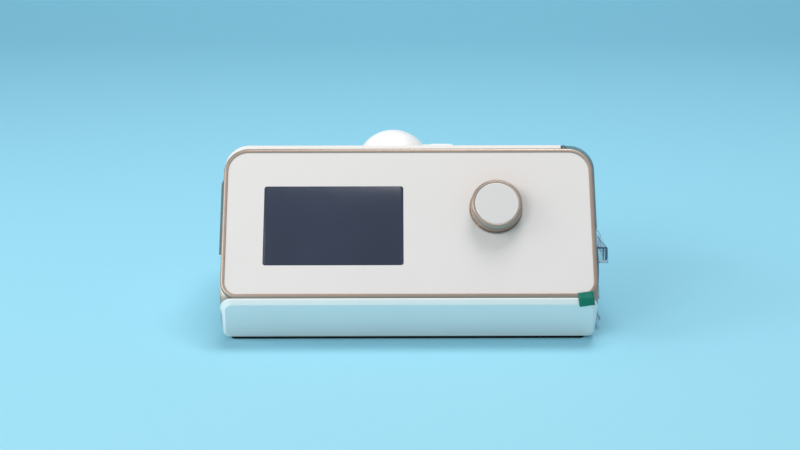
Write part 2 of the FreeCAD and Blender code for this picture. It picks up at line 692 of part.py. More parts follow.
# ---------------------------------------------------------------------------------------------
# Leaning panel: its own X runs across, Y up the slope, Z out of the panel's face
# ---------------------------------------------------------------------------------------------
def ring_corners(inset):
    """The frame's outline, or one inside it."""
    half = f"(ring_width/2 - ({inset}))"
    return [(f"-{half}", inset, f"ring_low_radius - ({inset})"),
            (half, inset, f"ring_low_radius - ({inset})"),
            (half, f"panel_slope - ({inset})", f"ring_top_radius - ({inset})"),
            (f"-{half}", f"panel_slope - ({inset})", f"ring_top_radius - ({inset})")]


def window_corners(shrink):
    """The display window's outline, or one inside it."""
    return [(f"window_left + ({shrink})", f"window_low + ({shrink})"),
            (f"window_right - ({shrink})", f"window_low + ({shrink})"),
            (f"window_right - ({shrink})", f"window_high - ({shrink})"),
            (f"window_left + ({shrink})", f"window_high - ({shrink})")]


def edges_at(shape, height):
    """Names of the edges that lie flat at a height."""
    return [f"Edge{index}" for index, edge in enumerate(shape.Edges, start=1)
            if abs(edge.BoundBox.ZMin - height) < 1e-4 and abs(edge.BoundBox.ZMax - height) < 1e-4]


def beyond(edge, half):
    """Whether an edge of the frame belongs to its outer outline."""
    box = edge.BoundBox
    inset = value("ring_face/2")
    return (max(-box.XMin, box.XMax) > half or box.YMin < inset
            or box.YMax > value("panel_slope") - inset)


def bezel_ring():
    """Metal-finished frame that the panel sits in."""
    body = new_body("bezel_ring_body")

    def draw(sketch):
        outline(sketch, ring_corners("0"))
        outline(sketch, ring_corners("ring_face"))
    base = pad(body, "ring_pad", "ring_depth + ring_proud", draw, "plan", "-ring_depth")
    doc.recompute()
    half = value("ring_width/2 - ring_face/2")
    for name, radius, outside in (("outer", "ring_round", True), ("inner", "ring_inner_round", False)):
        soft = body.newObject("PartDesign::Fillet", "ring_rounding_" + name)
        rims = [edge for edge in edges_at(base.Shape, value("ring_proud"))
                if outside == beyond(base.Shape.getElement(edge), half)]
        soft.Base = (base, rims)
        soft.setExpression("Radius", link(radius))
        doc.recompute()
        base = soft
    body.Tip = soft
    return keep(on_panel(body), "bezel_ring")


def front_panel():
    """Pale plate with the display's seat, the knob's hole and the board's posts."""
    body = new_body("front_panel_body")
    pad(body, "plate_pad", "plate_thick", lambda sketch: outline(sketch, ring_corners("plate_inset")),
        "plan", "-plate_thick")
    window = [corner + ("window_radius",) for corner in window_corners("-fit_gap")]
    pocket(body, "lens_seat", "lens_thick + lens_sink", lambda sketch: outline(sketch, window),
           upward=False)
    pocket(body, "window_hole", "plate_thick", lambda sketch: outline(
        sketch, window_corners("lens_lip")), upward=False)
    pocket(body, "knob_hole", "plate_thick", lambda sketch: circle(
        sketch, "knob_across", "knob_up", "bush_radius + fit_gap"), upward=False)

    def posts(sketch):
        for across in ("board_left + post_radius*1.5", "board_right - post_radius*1.5"):
            for up in ("board_low + post_radius*1.5", "board_high - post_radius*1.5"):
                circle(sketch, across, up, "post_radius")
    body.Tip = pad(body, "board_posts", "module_thick + board_gap", posts, "plan", "board_front")
    return keep(on_panel(body), "front_panel")


def screen_lens():
    """Dark glass over the display."""
    body = new_body("screen_lens_body")
    corners = [corner + ("window_radius",) for corner in window_corners("0")]
    body.Tip = pad(body, "lens_pad", "lens_thick", lambda sketch: outline(sketch, corners), "plan",
                   "-(lens_thick + lens_sink)")
    return keep(on_panel(body), "screen_lens")


def display_module():
    """Colour display that lies behind the window."""
    body = new_body("display_module_body")
    body.Tip = pad(body, "module_pad", "module_thick", lambda sketch: outline(
        sketch, window_corners("-module_margin")), "plan", "-(plate_thick + module_thick)")
    return keep(on_panel(body), "display_module")


def display_board():
    """Circuit board that carries the display and the knob's encoder."""
    body = new_body("display_board_body")

    def draw(sketch):
        rectangle(sketch, ("board_left", "board_low"), ("board_right", "board_high"), "post_radius")
        circle(sketch, "knob_across", "knob_up", "sleeve_radius + fit_gap")
    body.Tip = pad(body, "board_pad", "board_thick", draw, "plan", "board_front - board_thick")
    return keep(on_panel(body), "display_board")


def module_pads():
    """Foam strips that hold the display off the board."""
    strips = []
    for index, up in enumerate(("module_low", "module_high - post_radius*2")):
        strips.append(block(f"foam_strip_{index}", ("module_left", "module_right"),
                            (up, f"{up} + post_radius*2"),
                            ("board_front", "board_front + board_gap")))
    return keep(on_panel(group("module_pads_group", strips)), "module_pads")


def turned(name, corners):
    """A PartDesign body turned round the knob's axis, in the panel's axes."""
    body = new_body(name + "_body")
    body.Tip = revolve(body, name + "_turn", corners)
    holder = group(name + "_on_axis", [body])
    place(holder, "knob_across", "knob_up")
    return on_panel(group(name + "_group", [holder]))


def encoder():
    """Rotary encoder with its bush, soldered to the display board."""
    half = "encoder_size/2"
    case = block("encoder_case", (f"knob_across - {half}", f"knob_across + {half}"),
                 (f"knob_up - {half}", f"knob_up + {half}"),
                 ("board_front", "board_front + encoder_height"))
    bush = rod("encoder_bush", "bush_radius",
               "base_ring_height - board_front - encoder_height/2",
               "knob_across", "knob_up", "board_front + encoder_height/2")
    bore = rod("encoder_bore", "sleeve_radius + turn_clear", "body_depth", "knob_across",
               "knob_up", "board_front + board_thick/2")
    whole = cut("encoder_solid", fuse("encoder_whole", case, bush), bore)
    return keep(on_panel(whole), "encoder")


def knob():
    """The parts that turn, and those that also press in."""
    sleeve_low = "board_front + board_thick/2 + fit_gap"
    keep(turned("encoder_sleeve", [
        ("shaft_radius + turn_clear", sleeve_low), ("sleeve_radius", sleeve_low),
        ("sleeve_radius", "base_ring_height - fit_gap"),
        ("shaft_radius + turn_clear", "base_ring_height - fit_gap")]), "encoder_sleeve")
    keep(turned("knob_base_ring", [
        ("base_ring_radius - base_ring_width", "0"), ("base_ring_radius", "0"),
        ("base_ring_radius", "base_ring_height"),
        ("base_ring_radius - base_ring_width", "base_ring_height")]), "knob_base_ring")
    keep(turned("knob_shaft", [
        ("0", f"{sleeve_low} + press_travel + press_room"),
        ("shaft_radius", f"{sleeve_low} + press_travel + press_room"),
        ("shaft_radius", "cap_low - knob_wall"), ("0", "cap_low - knob_wall")]), "knob_shaft")
    hub = "(shaft_radius + knob_wall)"
    keep(turned("knob_body", [
        ("shaft_radius", "knob_low"), (hub, "knob_low"), (hub, "cap_low - knob_wall"),
        ("body_radius - knob_wall", "cap_low - knob_wall"), ("body_radius - knob_wall", "knob_low"),
        ("body_radius", "knob_low"), ("body_radius", "cap_low"), ("0", "cap_low"),
        ("0", "cap_low - knob_wall"), ("shaft_radius", "cap_low - knob_wall")]), "knob_body")
    keep(turned("knob_skirt_ring", [
        ("body_radius", "knob_low"), ("knob_radius", "knob_low"), ("knob_radius", "skirt_top"),
        ("body_radius", "skirt_top")]), "knob_skirt_ring")
    keep(turned("knob_front_ring", [
        ("cap_radius", "cap_low"), ("body_radius", "cap_low"), ("body_radius", "cap_low - front_drop"),
        ("knob_radius", "cap_low - front_drop"), ("knob_radius", "knob_height - knob_bevel"),
        ("knob_radius - knob_bevel", "knob_height"), ("cap_radius", "knob_height")]),
        "knob_front_ring")
    keep(turned("knob_cap", [
        ("0", "cap_low"), ("cap_radius", "cap_low"), ("cap_radius", "knob_height", "cap_round"),
        ("0", "knob_height")]), "knob_cap")


def pull_tab():
    """Thin tape tab stuck over the frame's lower right corner and the fascia's rim."""
    lift = "ring_proud + tab_lift"
    far = "ring_proud + tab_lift + tab_thick"

    def on_face(up, out):
        return (f"nose_back + ({up})*sin(tilt) - ({out})*cos(tilt)",
                f"nose_height + ({up})*cos(tilt) + ({out})*sin(tilt)")
    inner, outer = on_face("0", lift), on_face("0", far)
    strip = prism("tab_strip", "side", "tab_across - tab_width/2", "tab_across + tab_width/2", [
        on_face("tab_rise", lift), inner, (inner[0], "nose_height - tab_drop"),
        (f"{inner[0]} - tab_thick", "nose_height - tab_drop"),
        (f"{inner[0]} - tab_thick", outer[1]), on_face("tab_rise", far)])
    return keep(strip, "pull_tab")


bezel_ring()
front_panel()
screen_lens()
display_module()
display_board()
module_pads()
encoder()
knob()
pull_tab()


# ---------------------------------------------------------------------------------------------
# Humidifier bay, tank, lid and latch
# ---------------------------------------------------------------------------------------------
def tank_bay():
    """White liner that the tank slides into, with the wall that closes the casing's end."""
    channel = cut(
        "bay_channel",
        block("bay_outer", ("bay_inner", "bay_wall_at"), ("bay_front", "bay_back"),
              ("bay_floor", "bay_roof")),
        block("bay_space", ("bay_inner + bay_wall", "side"),
              ("bay_front + bay_wall", "bay_back - bay_wall"),
              ("bay_floor + bay_wall", "bay_roof - bay_wall")))
    apron = block("bay_apron", ("bay_wall_at - bay_wall", "end_inner - seam_gap"),
                  ("bay_front", "bay_back"), ("bay_floor", "bay_floor + bay_wall"))
    low = "foot_gap + shell_wall + seam_gap"
    under = "(shell_wall + fit_gap)"

    def liner_face(name, left, right, front, back):
        """A wall that follows the inside of the casing."""
        face = prism(name, "side", left, right, front + [(back, low), (back, top_at(back, under))])
        roof = roof_block(name + "_roof", "-side", f"side - {under}", under, f"roof_radius - {under}",
                          f"roof_radius - {under}")
        return common(name + "_trimmed", face, roof, belly_block(name + "_belly", under))
    ridge = "ridge_back + (seat + roof_lift*lean)/(1 + fall*lean)"
    end_wall = liner_face("bay_end", "bay_wall_at - bay_wall", "bay_wall_at", [
        (ridge, top_at(ridge, under)),
        (behind_panel("split_height + seam_gap", "ring_depth + seam_gap*2"),
         "split_height + seam_gap"),
        ("fascia_back + seam_gap", "split_height + seam_gap"), ("fascia_back + seam_gap", low)],
        "bay_back")
    rear_wall = common("bay_rear_trimmed", block(
        "bay_rear", ("bay_wall_at - bay_wall", "side - shell_wall - fit_gap"),
        ("bay_back", "bay_back + bay_wall"), (low, FAR)), roof_block(
            "bay_rear_roof", "-side", f"side - {under}", under, f"roof_radius - {under}",
            f"roof_radius - {under}"), belly_block("bay_rear_belly", under))
    post = rod("post_right_front", "boss_radius", "post_top - boss_top", "bay_post", "screw_front",
               "boss_top")
    holes = [
        block("bay_mouth", ("bay_wall_at - bay_wall*2", "side"),
              ("bay_front + bay_wall", "bay_back - bay_wall"),
              ("bay_floor + bay_wall", "bay_roof - bay_wall")),
        rod("pilot_right_front", "screw_radius + turn_clear",
            "screw_length - (boss_top - foot_gap - screw_sink) + screw_clear", "bay_post",
            "screw_front", "boss_top"),
        rod("boss_room", "boss_radius + fit_gap", "boss_top - foot_gap - seam_gap + fit_gap",
            "bay_post", "screw_front", "foot_gap"),
    ]
    for name, height in (("low", "port_low"), ("high", "port_high")):
        holes.append(rod(f"bay_port_{name}", "port_radius", "bay_wall*3",
                         "bay_inner - bay_wall", "port_back", height, "x"))
    whole = fuse("bay_whole", channel, apron, end_wall, rear_wall, post)
    return keep(cut("tank_bay_solid", whole, *holes), "tank_bay")


def bay_seals():
    """Soft rings round the two air ports."""
    rings = []
    for name, height in (("low", "port_low"), ("high", "port_high")):
        rings.append(cut(f"seal_{name}", *[
            rod(f"seal_{name}_{kind}", radius, "seal_thick", "bay_inner + bay_wall", "port_back",
                height, "x")
            for kind, radius in (("outer", "port_radius + seal_width"), ("inner", "port_radius"))]))
    return keep(group("bay_seals_group", rings), "bay_seals")


def heater_plate():
    """Warm plate on the floor of the bay."""
    body = new_body("heater_body")
    body.Tip = pad(body, "heater_pad", "heater_thick", lambda sketch: rectangle(
        sketch, ("bay_inner + bay_wall + heater_inset", "bay_front + bay_wall + heater_inset"),
        ("bay_wall_at - heater_inset", "bay_back - bay_wall - heater_inset"), "cap_thick*2"),
        "plan", "bay_floor + bay_wall")
    return keep(body, "heater_plate")


def tank_body():
    """Clear water tub with its end plate, filling neck, air ports and hinge ears."""
    tub = block("tub_outer", ("tub_left", "neck_right"), ("tub_front", "tub_back"),
                ("tub_low", "tub_high"))
    end = block("tub_end", ("neck_left", "end_outer - end_thick/2"), ("tub_front", "tub_back"),
                ("tub_low", "lid_low - seam_gap"))
    under = "lid_under"
    neck = prism("neck_outer", "side", "neck_left", "neck_right", [
        ("tub_front", "tub_high - tank_wall"), ("tub_back", "tub_high - tank_wall"),
        ("tub_back", top_at("tub_back", under)), ("tub_front", top_at("tub_front", under))])
    plate = prism("end_plate", "side", "end_inner", "end_outer", [
        ("end_front", "end_low"), ("lid_back", "end_low"), ("lid_back", "lid_low - seam_gap"),
        (behind_panel("lid_low - seam_gap", "ring_depth + seam_gap*2"), "lid_low - seam_gap"),
        (behind_panel("split_height + seam_gap", "ring_depth + seam_gap*2"),
         "split_height + seam_gap"),
        ("end_front", "split_height + seam_gap")])
    lip = prism("end_lip", "front", "end_front + lip_inset/4", "lid_back - lip_inset", [
        ("end_outer - end_thick/2", "end_low"), ("end_outer + lip_proud", "end_low"),
        ("end_outer + lip_proud", "end_low + end_thick/2"),
        ("end_outer", "end_low + lip_height"),
        ("end_outer - end_thick/2", "end_low + lip_height")])
    ears, ear_holes = [], []
    for index, start in enumerate(("hinge_front", "hinge_rear - ear_width")):
        stem = block(f"ear_stem_{index}",
                     ("hinge_across - lid_barrel*0.8", "hinge_across + lid_barrel*0.8"),
                     (start, f"{start} + ear_width"),
                     ("-(lid_under + tank_wall)", "-lid_barrel"))
        ears.append(stem)
        ears.append(rod(f"ear_{index}", "lid_barrel", "ear_width", "hinge_across", start,
                        "-lid_barrel", "y"))
    pin_hole = rod("tank_pin_hole", "pin_radius + turn_clear", "body_depth", "hinge_across", "0",
                   "-lid_barrel", "y")
    hinge = group("tank_hinge_placed", [cut("tank_hinge", fuse("tank_ears", *ears), pin_hole)])
    on_roof(hinge)
    whole = fuse("tank_whole", tub, end, neck, plate, lip)
    wall = "tank_wall"
    hollow = [
        block("end_space", (f"neck_left + {wall}", "end_inner"),
              (f"tub_front + {wall}", f"tub_back - {wall}"),
              (f"tub_low + {wall}", f"lid_low - seam_gap - {wall}")),
        block("tub_space", (f"tub_left + {wall}", f"neck_right - {wall}"),
              (f"tub_front + {wall}", f"tub_back - {wall}"),
              (f"tub_low + {wall}", f"tub_high - {wall}")),
        prism("neck_space", "side", f"neck_left + {wall}", f"neck_right - {wall}", [
            (f"tub_front + {wall}", "tub_low + tank_wall"),
            (f"tub_back - {wall}", "tub_low + tank_wall"),
            (f"tub_back - {wall}", "body_depth"), (f"tub_front + {wall}", "body_depth")]),
        block("well_hole", (f"tub_left + {wall}*2", "bay_wall_at - heater_inset"),
              (f"tub_front + {wall}*2", f"tub_back - {wall}*2"),
              ("tub_low - tank_wall", "tub_low + well_plate")),
    ]
    for name, height in (("low", "port_low"), ("high", "port_high")):
        hollow.append(rod(f"tank_port_{name}", "port_radius", f"{wall}*3", f"tub_left - {wall}",
                          "port_back", height, "x"))
    vessel = cut("tank_vessel", whole, *hollow)
    return keep(fuse("tank_body_solid", vessel, hinge), "tank_body")


def tank_well_plate():
    """Metal plate in the tank's floor that takes the heater's warmth."""
    wall = "tank_wall"
    return keep(block("well_plate_solid", (f"tub_left + {wall}*2", "bay_wall_at - heater_inset"),
                      (f"tub_front + {wall}*2", f"tub_back - {wall}*2"),
                      ("tub_low", "tub_low + well_plate")), "tank_well_plate")


def lid_piece(name, solids):
    """Place solids that were drawn in the roof's axes."""
    holder = group(name + "_placed", solids)
    return on_roof(holder)


def lid():
    """Smoked lid over the tank's end, with its hinge barrel, pin and seal."""
    outer = roof_block("lid_block", "hinge_across", "lid_outer", "lid_sink", "fit_gap", "roof_radius")
    inner = roof_block("lid_inner", "0", "lid_outer - lid_wall", "lid_sink + lid_wall", "fit_gap",
                       "roof_radius - lid_wall")
    limits = prism("lid_limits", "side", "lid_at", "side + latch_reach", [
        (behind_panel("lid_low", "ring_depth + seam_gap*2"), "lid_low"),
        ("lid_back - seam_gap", "lid_low"), ("lid_back - seam_gap", FAR),
        (behind_panel(FAR, "ring_depth + seam_gap*2"), FAR)])
    shell = common("lid_shell", cut("lid_walls", outer, inner), limits)
    start, end = "hinge_front + ear_width + seam_gap/2", "hinge_rear - ear_width - seam_gap/2"
    barrel = lid_piece("lid_barrel_solid", [
        rod("lid_barrel_rod", "lid_barrel", f"({end}) - ({start})", "hinge_across", start,
            "-lid_barrel", "y")])
    room = []
    for index, place_at in enumerate(("hinge_front", "hinge_rear - ear_width")):
        room.append(block(f"ear_room_{index}", ("lid_at", "hinge_across + lid_barrel + seam_gap"),
                          (f"{place_at} - seam_gap/2", f"{place_at} + ear_width + seam_gap/2"),
                          ("-lid_barrel*4", "lid_barrel")))
    room.append(rod("lid_pin_hole", "pin_radius", "body_depth", "hinge_across", "0",
                    "-lid_barrel", "y"))
    tool = lid_piece("lid_room", [fuse("lid_room_solid", *room)])
    latch_notch = block("latch_notch", ("lid_outer - lid_wall*2", "side + latch_reach"),
                        ("latch_front - seam_gap", "latch_back + seam_gap"),
                        ("0", "latch_up + latch_barrel + seam_gap*2"))
    latch_hole = rod("latch_pin_hole", "latch_pin", "latch_length + 2*latch_ear + 2*seam_gap",
                     "latch_across", "latch_front - latch_ear - seam_gap", "latch_up", "y")
    keep(cut("tank_lid_solid", fuse("lid_whole", shell, barrel), tool, latch_notch, latch_hole),
         "tank_lid")
    pin = lid_piece("lid_pin_solid", [
        rod("lid_pin_rod", "pin_radius", "hinge_rear - hinge_front - seam_gap", "hinge_across",
            "hinge_front + seam_gap/2", "-lid_barrel", "y")])
    keep(pin, "lid_hinge_pin")


def neck_seal():
    """Soft gasket round the rim of the filling neck."""
    under = "lid_under"
    wall = "tank_wall"

    def frame(name, grow):
        return prism(name, "side", f"neck_left + {grow}", f"neck_right - {grow}", [
            (f"tub_front + {grow}", top_at(f"(tub_front + {grow})", under)),
            (f"tub_back - {grow}", top_at(f"(tub_back - {grow})", under)),
            (f"tub_back - {grow}", top_at(f"(tub_back - {grow})", f"{under} - seal_thick")),
            (f"tub_front + {grow}", top_at(f"(tub_front + {grow})", f"{under} - seal_thick"))])
    ring = cut("neck_seal_ring", frame("neck_seal_outer", "tank_wall*0.2"),
               block("neck_seal_hole", (f"neck_left + {wall}*0.8", f"neck_right - {wall}*0.8"),
                     (f"tub_front + {wall}*0.8", f"tub_back - {wall}*0.8"), ("0", FAR)))
    ear_room = []
    for index, start in enumerate(("hinge_front", "hinge_rear - ear_width")):
        ear_room.append(block(f"seal_ear_room_{index}",
                              ("hinge_across - lid_barrel*0.8 - seam_gap/2",
                               "hinge_across + lid_barrel + seam_gap"),
                              (f"{start} - seam_gap", f"{start} + ear_width + seam_gap"),
                              ("-lid_barrel*6", "0")))
    room = lid_piece("seal_room", [fuse("seal_room_solid", *ear_room)])
    return keep(cut("neck_seal_solid", ring, room), "neck_seal")


# The latch's ramp: how far down it is and how far out it has come, as parts of the whole
RAMP = [(0.255, 0.07), (0.524, 0.20), (0.653, 0.36), (0.776, 0.565), (0.894, 0.77), (1.0, 0.91)]


def latch():
    """Clear flip latch: a flared ramp and a boxed grip, hinged in the lid's lower edge."""
    ramp = [(f"lid_outer + (latch_outer - lid_outer)*{out}", f"latch_up - (latch_up - grip_top)*{down}")
            for down, out in RAMP]
    inner, ceiling = "end_outer + latch_clear", "grip_top - latch_wall"
    lever = prism("latch_lever", "front", "latch_front", "latch_back", [
        (inner, "latch_up - latch_barrel"), ("latch_across", "latch_up - latch_barrel"),
        ("latch_across", "latch_up"), ("lid_outer", "latch_up"), *ramp,
        ("latch_outer", "grip_low"), ("latch_outer - latch_wall", "grip_low"),
        ("latch_outer - latch_wall", ceiling), (inner, ceiling)])
    cheeks = [
        block(f"latch_cheek_{index}", (inner, "latch_outer - latch_wall/2"),
              (start, f"{start} + latch_wall"), ("grip_low", "grip_top - latch_wall/2"))
        for index, start in enumerate(("latch_front", "latch_back - latch_wall"))]
    barrel = rod("latch_barrel_rod", "latch_barrel", "latch_length", "latch_across",
                 "latch_front", "latch_up", "y")
    hole = rod("latch_bore", "latch_pin + turn_clear", "latch_length*2", "latch_across",
               "latch_front - latch_length/2", "latch_up", "y")
    keep(cut("tank_latch_solid", fuse("latch_whole", lever, barrel, *cheeks), hole), "tank_latch")
    keep(rod("latch_pin_solid", "latch_pin", "latch_length + 2*latch_ear + 2*seam_gap",
             "latch_across", "latch_front - latch_ear - seam_gap", "latch_up", "y"), "latch_pin")


tank_bay()
bay_seals()
heater_plate()
tank_body()
tank_well_plate()
lid()
neck_seal()
latch()


# ---------------------------------------------------------------------------------------------
# Air outlet
# ---------------------------------------------------------------------------------------------
def ball(name, radius, across, back, height):
    """A sphere at a place."""
    solid = doc.addObject("Part::Sphere", name)
    bind(solid, Radius=radius)
    return place(solid, across, back, height)


def outlet_collar():
    """Fixed ring in the recess that the elbow turns in."""
    low = "notch_floor + collar_rise - collar_depth"
    ring = rod("collar_outer", "collar_radius", "collar_depth", "outlet_across", "outlet_back", low)
    bore = rod("collar_space", "collar_bore", "collar_depth*2", "outlet_across", "outlet_back", low)
    return keep(cut("outlet_collar_solid", ring, bore), "outlet_collar")


def outlet_elbow():
    """Swivelling elbow with a domed back and the standard tapered hose end."""
    centre = ("outlet_across", "outlet_back", "dome_centre")
    neck = rod("elbow_neck", "outlet_radius - outlet_relief", "outlet_reach", "outlet_across",
               "outlet_back", "outlet_axis", "x")
    arm = rod("elbow_arm", "outlet_radius", "outlet_seat",
              "outlet_across + outlet_reach - outlet_seat", "outlet_back", "outlet_axis", "x")
    spigot = rod("elbow_spigot", "collar_bore - turn_clear", "spigot_depth + dome_lift",
                 "outlet_across", "outlet_back", "dome_low - spigot_depth - dome_lift")
    trim = block("elbow_trim", ("outlet_across - dome_radius*2", "outlet_across + dome_radius*2"),
                 ("outlet_back - dome_radius*2", "outlet_back + dome_radius*2"),
                 ("0", "dome_low"))
    dome = cut("elbow_dome", ball("elbow_ball", "dome_radius", *centre), trim)
    air_trim = block("air_trim", ("outlet_across - dome_radius*2", "outlet_across + dome_radius*2"),
                     ("outlet_back - dome_radius*2", "outlet_back + dome_radius*2"),
                     ("0", "dome_low + dome_wall"))
    air = cut("elbow_air", ball("elbow_air_ball", "dome_radius - dome_wall", *centre), air_trim)
    arm_bore = rod("arm_bore", "outlet_bore", "outlet_reach*2", "outlet_across", "outlet_back",
                   "outlet_axis", "x")
    spigot_bore = rod("spigot_bore", "collar_bore - turn_clear - spigot_wall", "dome_radius*2",
                      "outlet_across", "outlet_back", "dome_low - dome_radius")
    inside = common("arm_bore_outside", arm_bore, block(
        "arm_bore_limits", ("outlet_across", "outlet_across + outlet_reach*2"),
        ("outlet_back - dome_radius", "outlet_back + dome_radius"), ("0", FAR)))
    low_bore = common("spigot_bore_low", spigot_bore, block(
        "spigot_bore_limits", ("outlet_across - dome_radius", "outlet_across + dome_radius"),
        ("outlet_back - dome_radius", "outlet_back + dome_radius"),
        ("0", "dome_low + dome_wall*2")))
    whole = fuse("elbow_whole", dome, neck, arm, spigot)
    return keep(cut("outlet_elbow_solid", whole, air, inside, low_bore), "outlet_elbow")


def outlet_duct():
    """Box duct from the bay's upper port to the collar."""
    wall = "duct_wall"
    top = "notch_floor + collar_rise - collar_depth"
    reach = f"(collar_radius + {wall})"
    low = f"port_high - port_radius - {wall}"
    outer = block("duct_outer", (f"outlet_across - {reach}", "bay_inner"),
                  (f"port_back - port_radius - {wall}", f"outlet_back + {reach}"), (low, top))
    space = block("duct_space", ("outlet_across - collar_radius", f"bay_inner - {wall}"),
                  ("port_back - port_radius", "outlet_back + collar_radius"),
                  (f"{low} + {wall}", f"{top} - {wall}"))
    up = rod("duct_way_up", "port_radius", f"{wall}*3", "outlet_across", "outlet_back",
             f"{top} - {wall}*2")
    across = rod("duct_way_across", "port_radius*0.9", f"{wall}*3", f"bay_inner - {wall}*2",
                 "port_back", "port_high", "x")
    return keep(cut("outlet_duct_solid", outer, space, up, across), "outlet_duct")


# ---------------------------------------------------------------------------------------------
# Blower
# ---------------------------------------------------------------------------------------------
def blower_housing():
    """Round pressure chamber with a nozzle to the bay's lower port."""
    at = ("blower_across", "blower_back")
    nozzle_height = "port_low"
    outer = rod("blower_outer", "blower_radius", "blower_height - blower_wall", *at, "blower_base")
    nozzle = rod("nozzle_outer", "port_radius + duct_wall", "bay_inner - blower_across",
                 "blower_across", "port_back", nozzle_height, "x")
    ledge = block("nozzle_bridge", ("blower_across - port_radius", "blower_across + port_radius"),
                  ("blower_back + motor_radius", "port_back"),
                  ("port_low - port_radius", "port_low + port_radius"))
    space = rod("blower_space", "blower_radius - blower_wall", "blower_height", *at,
                "blower_base + blower_wall")
    bore = rod("nozzle_bore", "port_radius", "bay_inner", "blower_across", "port_back",
               nozzle_height, "x")
    bind(bore, Height="bay_inner - blower_across + bay_wall")
    whole = cut("blower_cup", fuse("blower_body", outer, nozzle, ledge), space, bore)
    return keep(whole, "blower_housing")


def blower_cover():
    """Lid of the chamber, with the eye that the air comes in by."""
    body = new_body("blower_cover_body")
    low = "blower_top - blower_wall"

    def draw(sketch):
        circle(sketch, "blower_across", "blower_back", "blower_radius")
        circle(sketch, "blower_across", "blower_back", "eye_radius")
    body.Tip = pad(body, "cover_disc", "blower_wall", draw, "plan", low)
    return keep(body, "blower_cover")


def blower_motor():
    """Brushless motor that stands on the chamber's floor."""
    body = new_body("blower_motor_body")
    pad(body, "motor_can", "motor_height", lambda sketch: circle(
        sketch, "0", "0", "motor_radius"), "plan", "motor_low")
    body.Tip = pocket(body, "motor_bore", "motor_height", lambda sketch: circle(
        sketch, "0", "0", "spindle_radius + turn_clear"), "plan", "motor_low + blower_wall")
    holder = group("blower_motor_group", [body])
    return keep(place(holder, "blower_across", "blower_back"), "blower_motor")


def impeller():
    """Bladed wheel on the motor's spindle."""
    body = new_body("impeller_body")
    disc_top = "disc_low + disc_thick"
    turn = revolve(body, "impeller_disc", [
        ("0", "motor_low + blower_wall + run_gap/2"),
        ("spindle_radius", "motor_low + blower_wall + run_gap/2"),
        ("spindle_radius", "disc_low"), ("impeller_radius", "disc_low"),
        ("impeller_radius", disc_top), ("hub_radius", disc_top),
        ("hub_radius*0.5", f"{disc_top} + blade_height*0.8"), ("0", f"{disc_top} + blade_height*0.8")])
    body.Tip = turn
    doc.recompute()
    blade = pad(body, "impeller_blade", "blade_height", lambda sketch: outline(sketch, [
        ("hub_radius", "-blade_thick/2"), ("impeller_radius*0.97", "-blade_thick/2 - hub_radius"),
        ("impeller_radius*0.97", "blade_thick/2 - hub_radius"), ("hub_radius", "blade_thick/2")]),
        "plan", disc_top)
    doc.recompute()
    blades = body.newObject("PartDesign::PolarPattern", "impeller_blades")
    blades.Originals = [blade]
    blades.Axis = (turn.Profile[0], ["V_Axis"])
    blades.Angle = 360
    bind(blades, Occurrences="blade_count")
    body.Tip = blades
    holder = group("impeller_group", [body])
    return keep(place(holder, "blower_across", "blower_back"), "impeller")


def blower_mounts():
    """Soft feet between the blower and the casing's floor."""
    feet = []
    for index in range(3):
        angle = 90 + index*120
        feet.append(rod(f"blower_mount_{index}", "mount_radius",
                        "blower_base - foot_gap - shell_wall",
                        f"blower_across + mount_circle*cos({angle})",
                        f"blower_back + mount_circle*sin({angle})", "foot_gap + shell_wall"))
    return keep(group("blower_mounts_group", feet), "blower_mounts")


# ---------------------------------------------------------------------------------------------
# Air inlet on the left side
# ---------------------------------------------------------------------------------------------
def filter_outline(inset):
    """The filter's slanted outline in the side wall, or one inside it."""
    low, high = f"(tray_low + ({inset}))", f"(tray_high - ({inset}))"
    set_back = f"cover_set + filter_margin + tray_wall + ({inset})"
    back = f"tray_back - ({inset})"
    return [(behind_panel(low, set_back), low), (back, low), (back, high),
            (behind_panel(high, set_back), high)]


def filter_tray():
    """Frame behind the side wall that holds the filter."""
    outer = prism("tray_frame", "side", "-wall_in", "tray_inner", filter_outline("0"))
    pocket_space = prism("tray_pocket", "side", "-wall_in - tray_wall", "-wall_in + filter_thick",
                         filter_outline("tray_wall"))
    mouth = block("tray_mouth", ("-wall_in", "tray_inner + tray_wall"),
                  ("tray_back - tray_wall*2 - intake_half", "tray_back - tray_wall*2"),
                  ("blower_top + tray_wall + filter_margin*2.4", "tray_high - tray_wall*2"))
    return keep(cut("filter_tray_solid", outer, pocket_space, mouth), "filter_tray")


def inlet_filter():
    """Pleated filter pad."""
    return keep(prism("filter_pad", "side", "-wall_in + fit_gap", "-wall_in + filter_thick - fit_gap",
                      filter_outline("tray_wall + fit_gap")), "inlet_filter")


def intake_duct():
    """Box duct from the filter to the blower's eye."""
    back = ("tray_back - tray_wall*3 - intake_half*2 + intake_half/2", "tray_back")
    height = ("blower_top", "tray_high - tray_wall")
    outer = block("intake_outer", ("tray_inner", "blower_across + eye_radius + duct_wall"), back,
                  height)
    wall = "duct_wall"
    space = block("intake_space", (f"tray_inner - {wall}", "blower_across + eye_radius"),
                  (f"{back[0]} + {wall}", f"{back[1]} - {wall}"),
                  (f"{height[0]} + {wall}", f"{height[1]} - {wall}"))
    eye = rod("intake_eye", "intake_half*0.6", f"{wall}*3", "blower_across",
              "blower_back - eye_radius/4", f"{height[0]} - {wall}")
    return keep(cut("intake_duct_solid", outer, space, eye), "intake_duct")


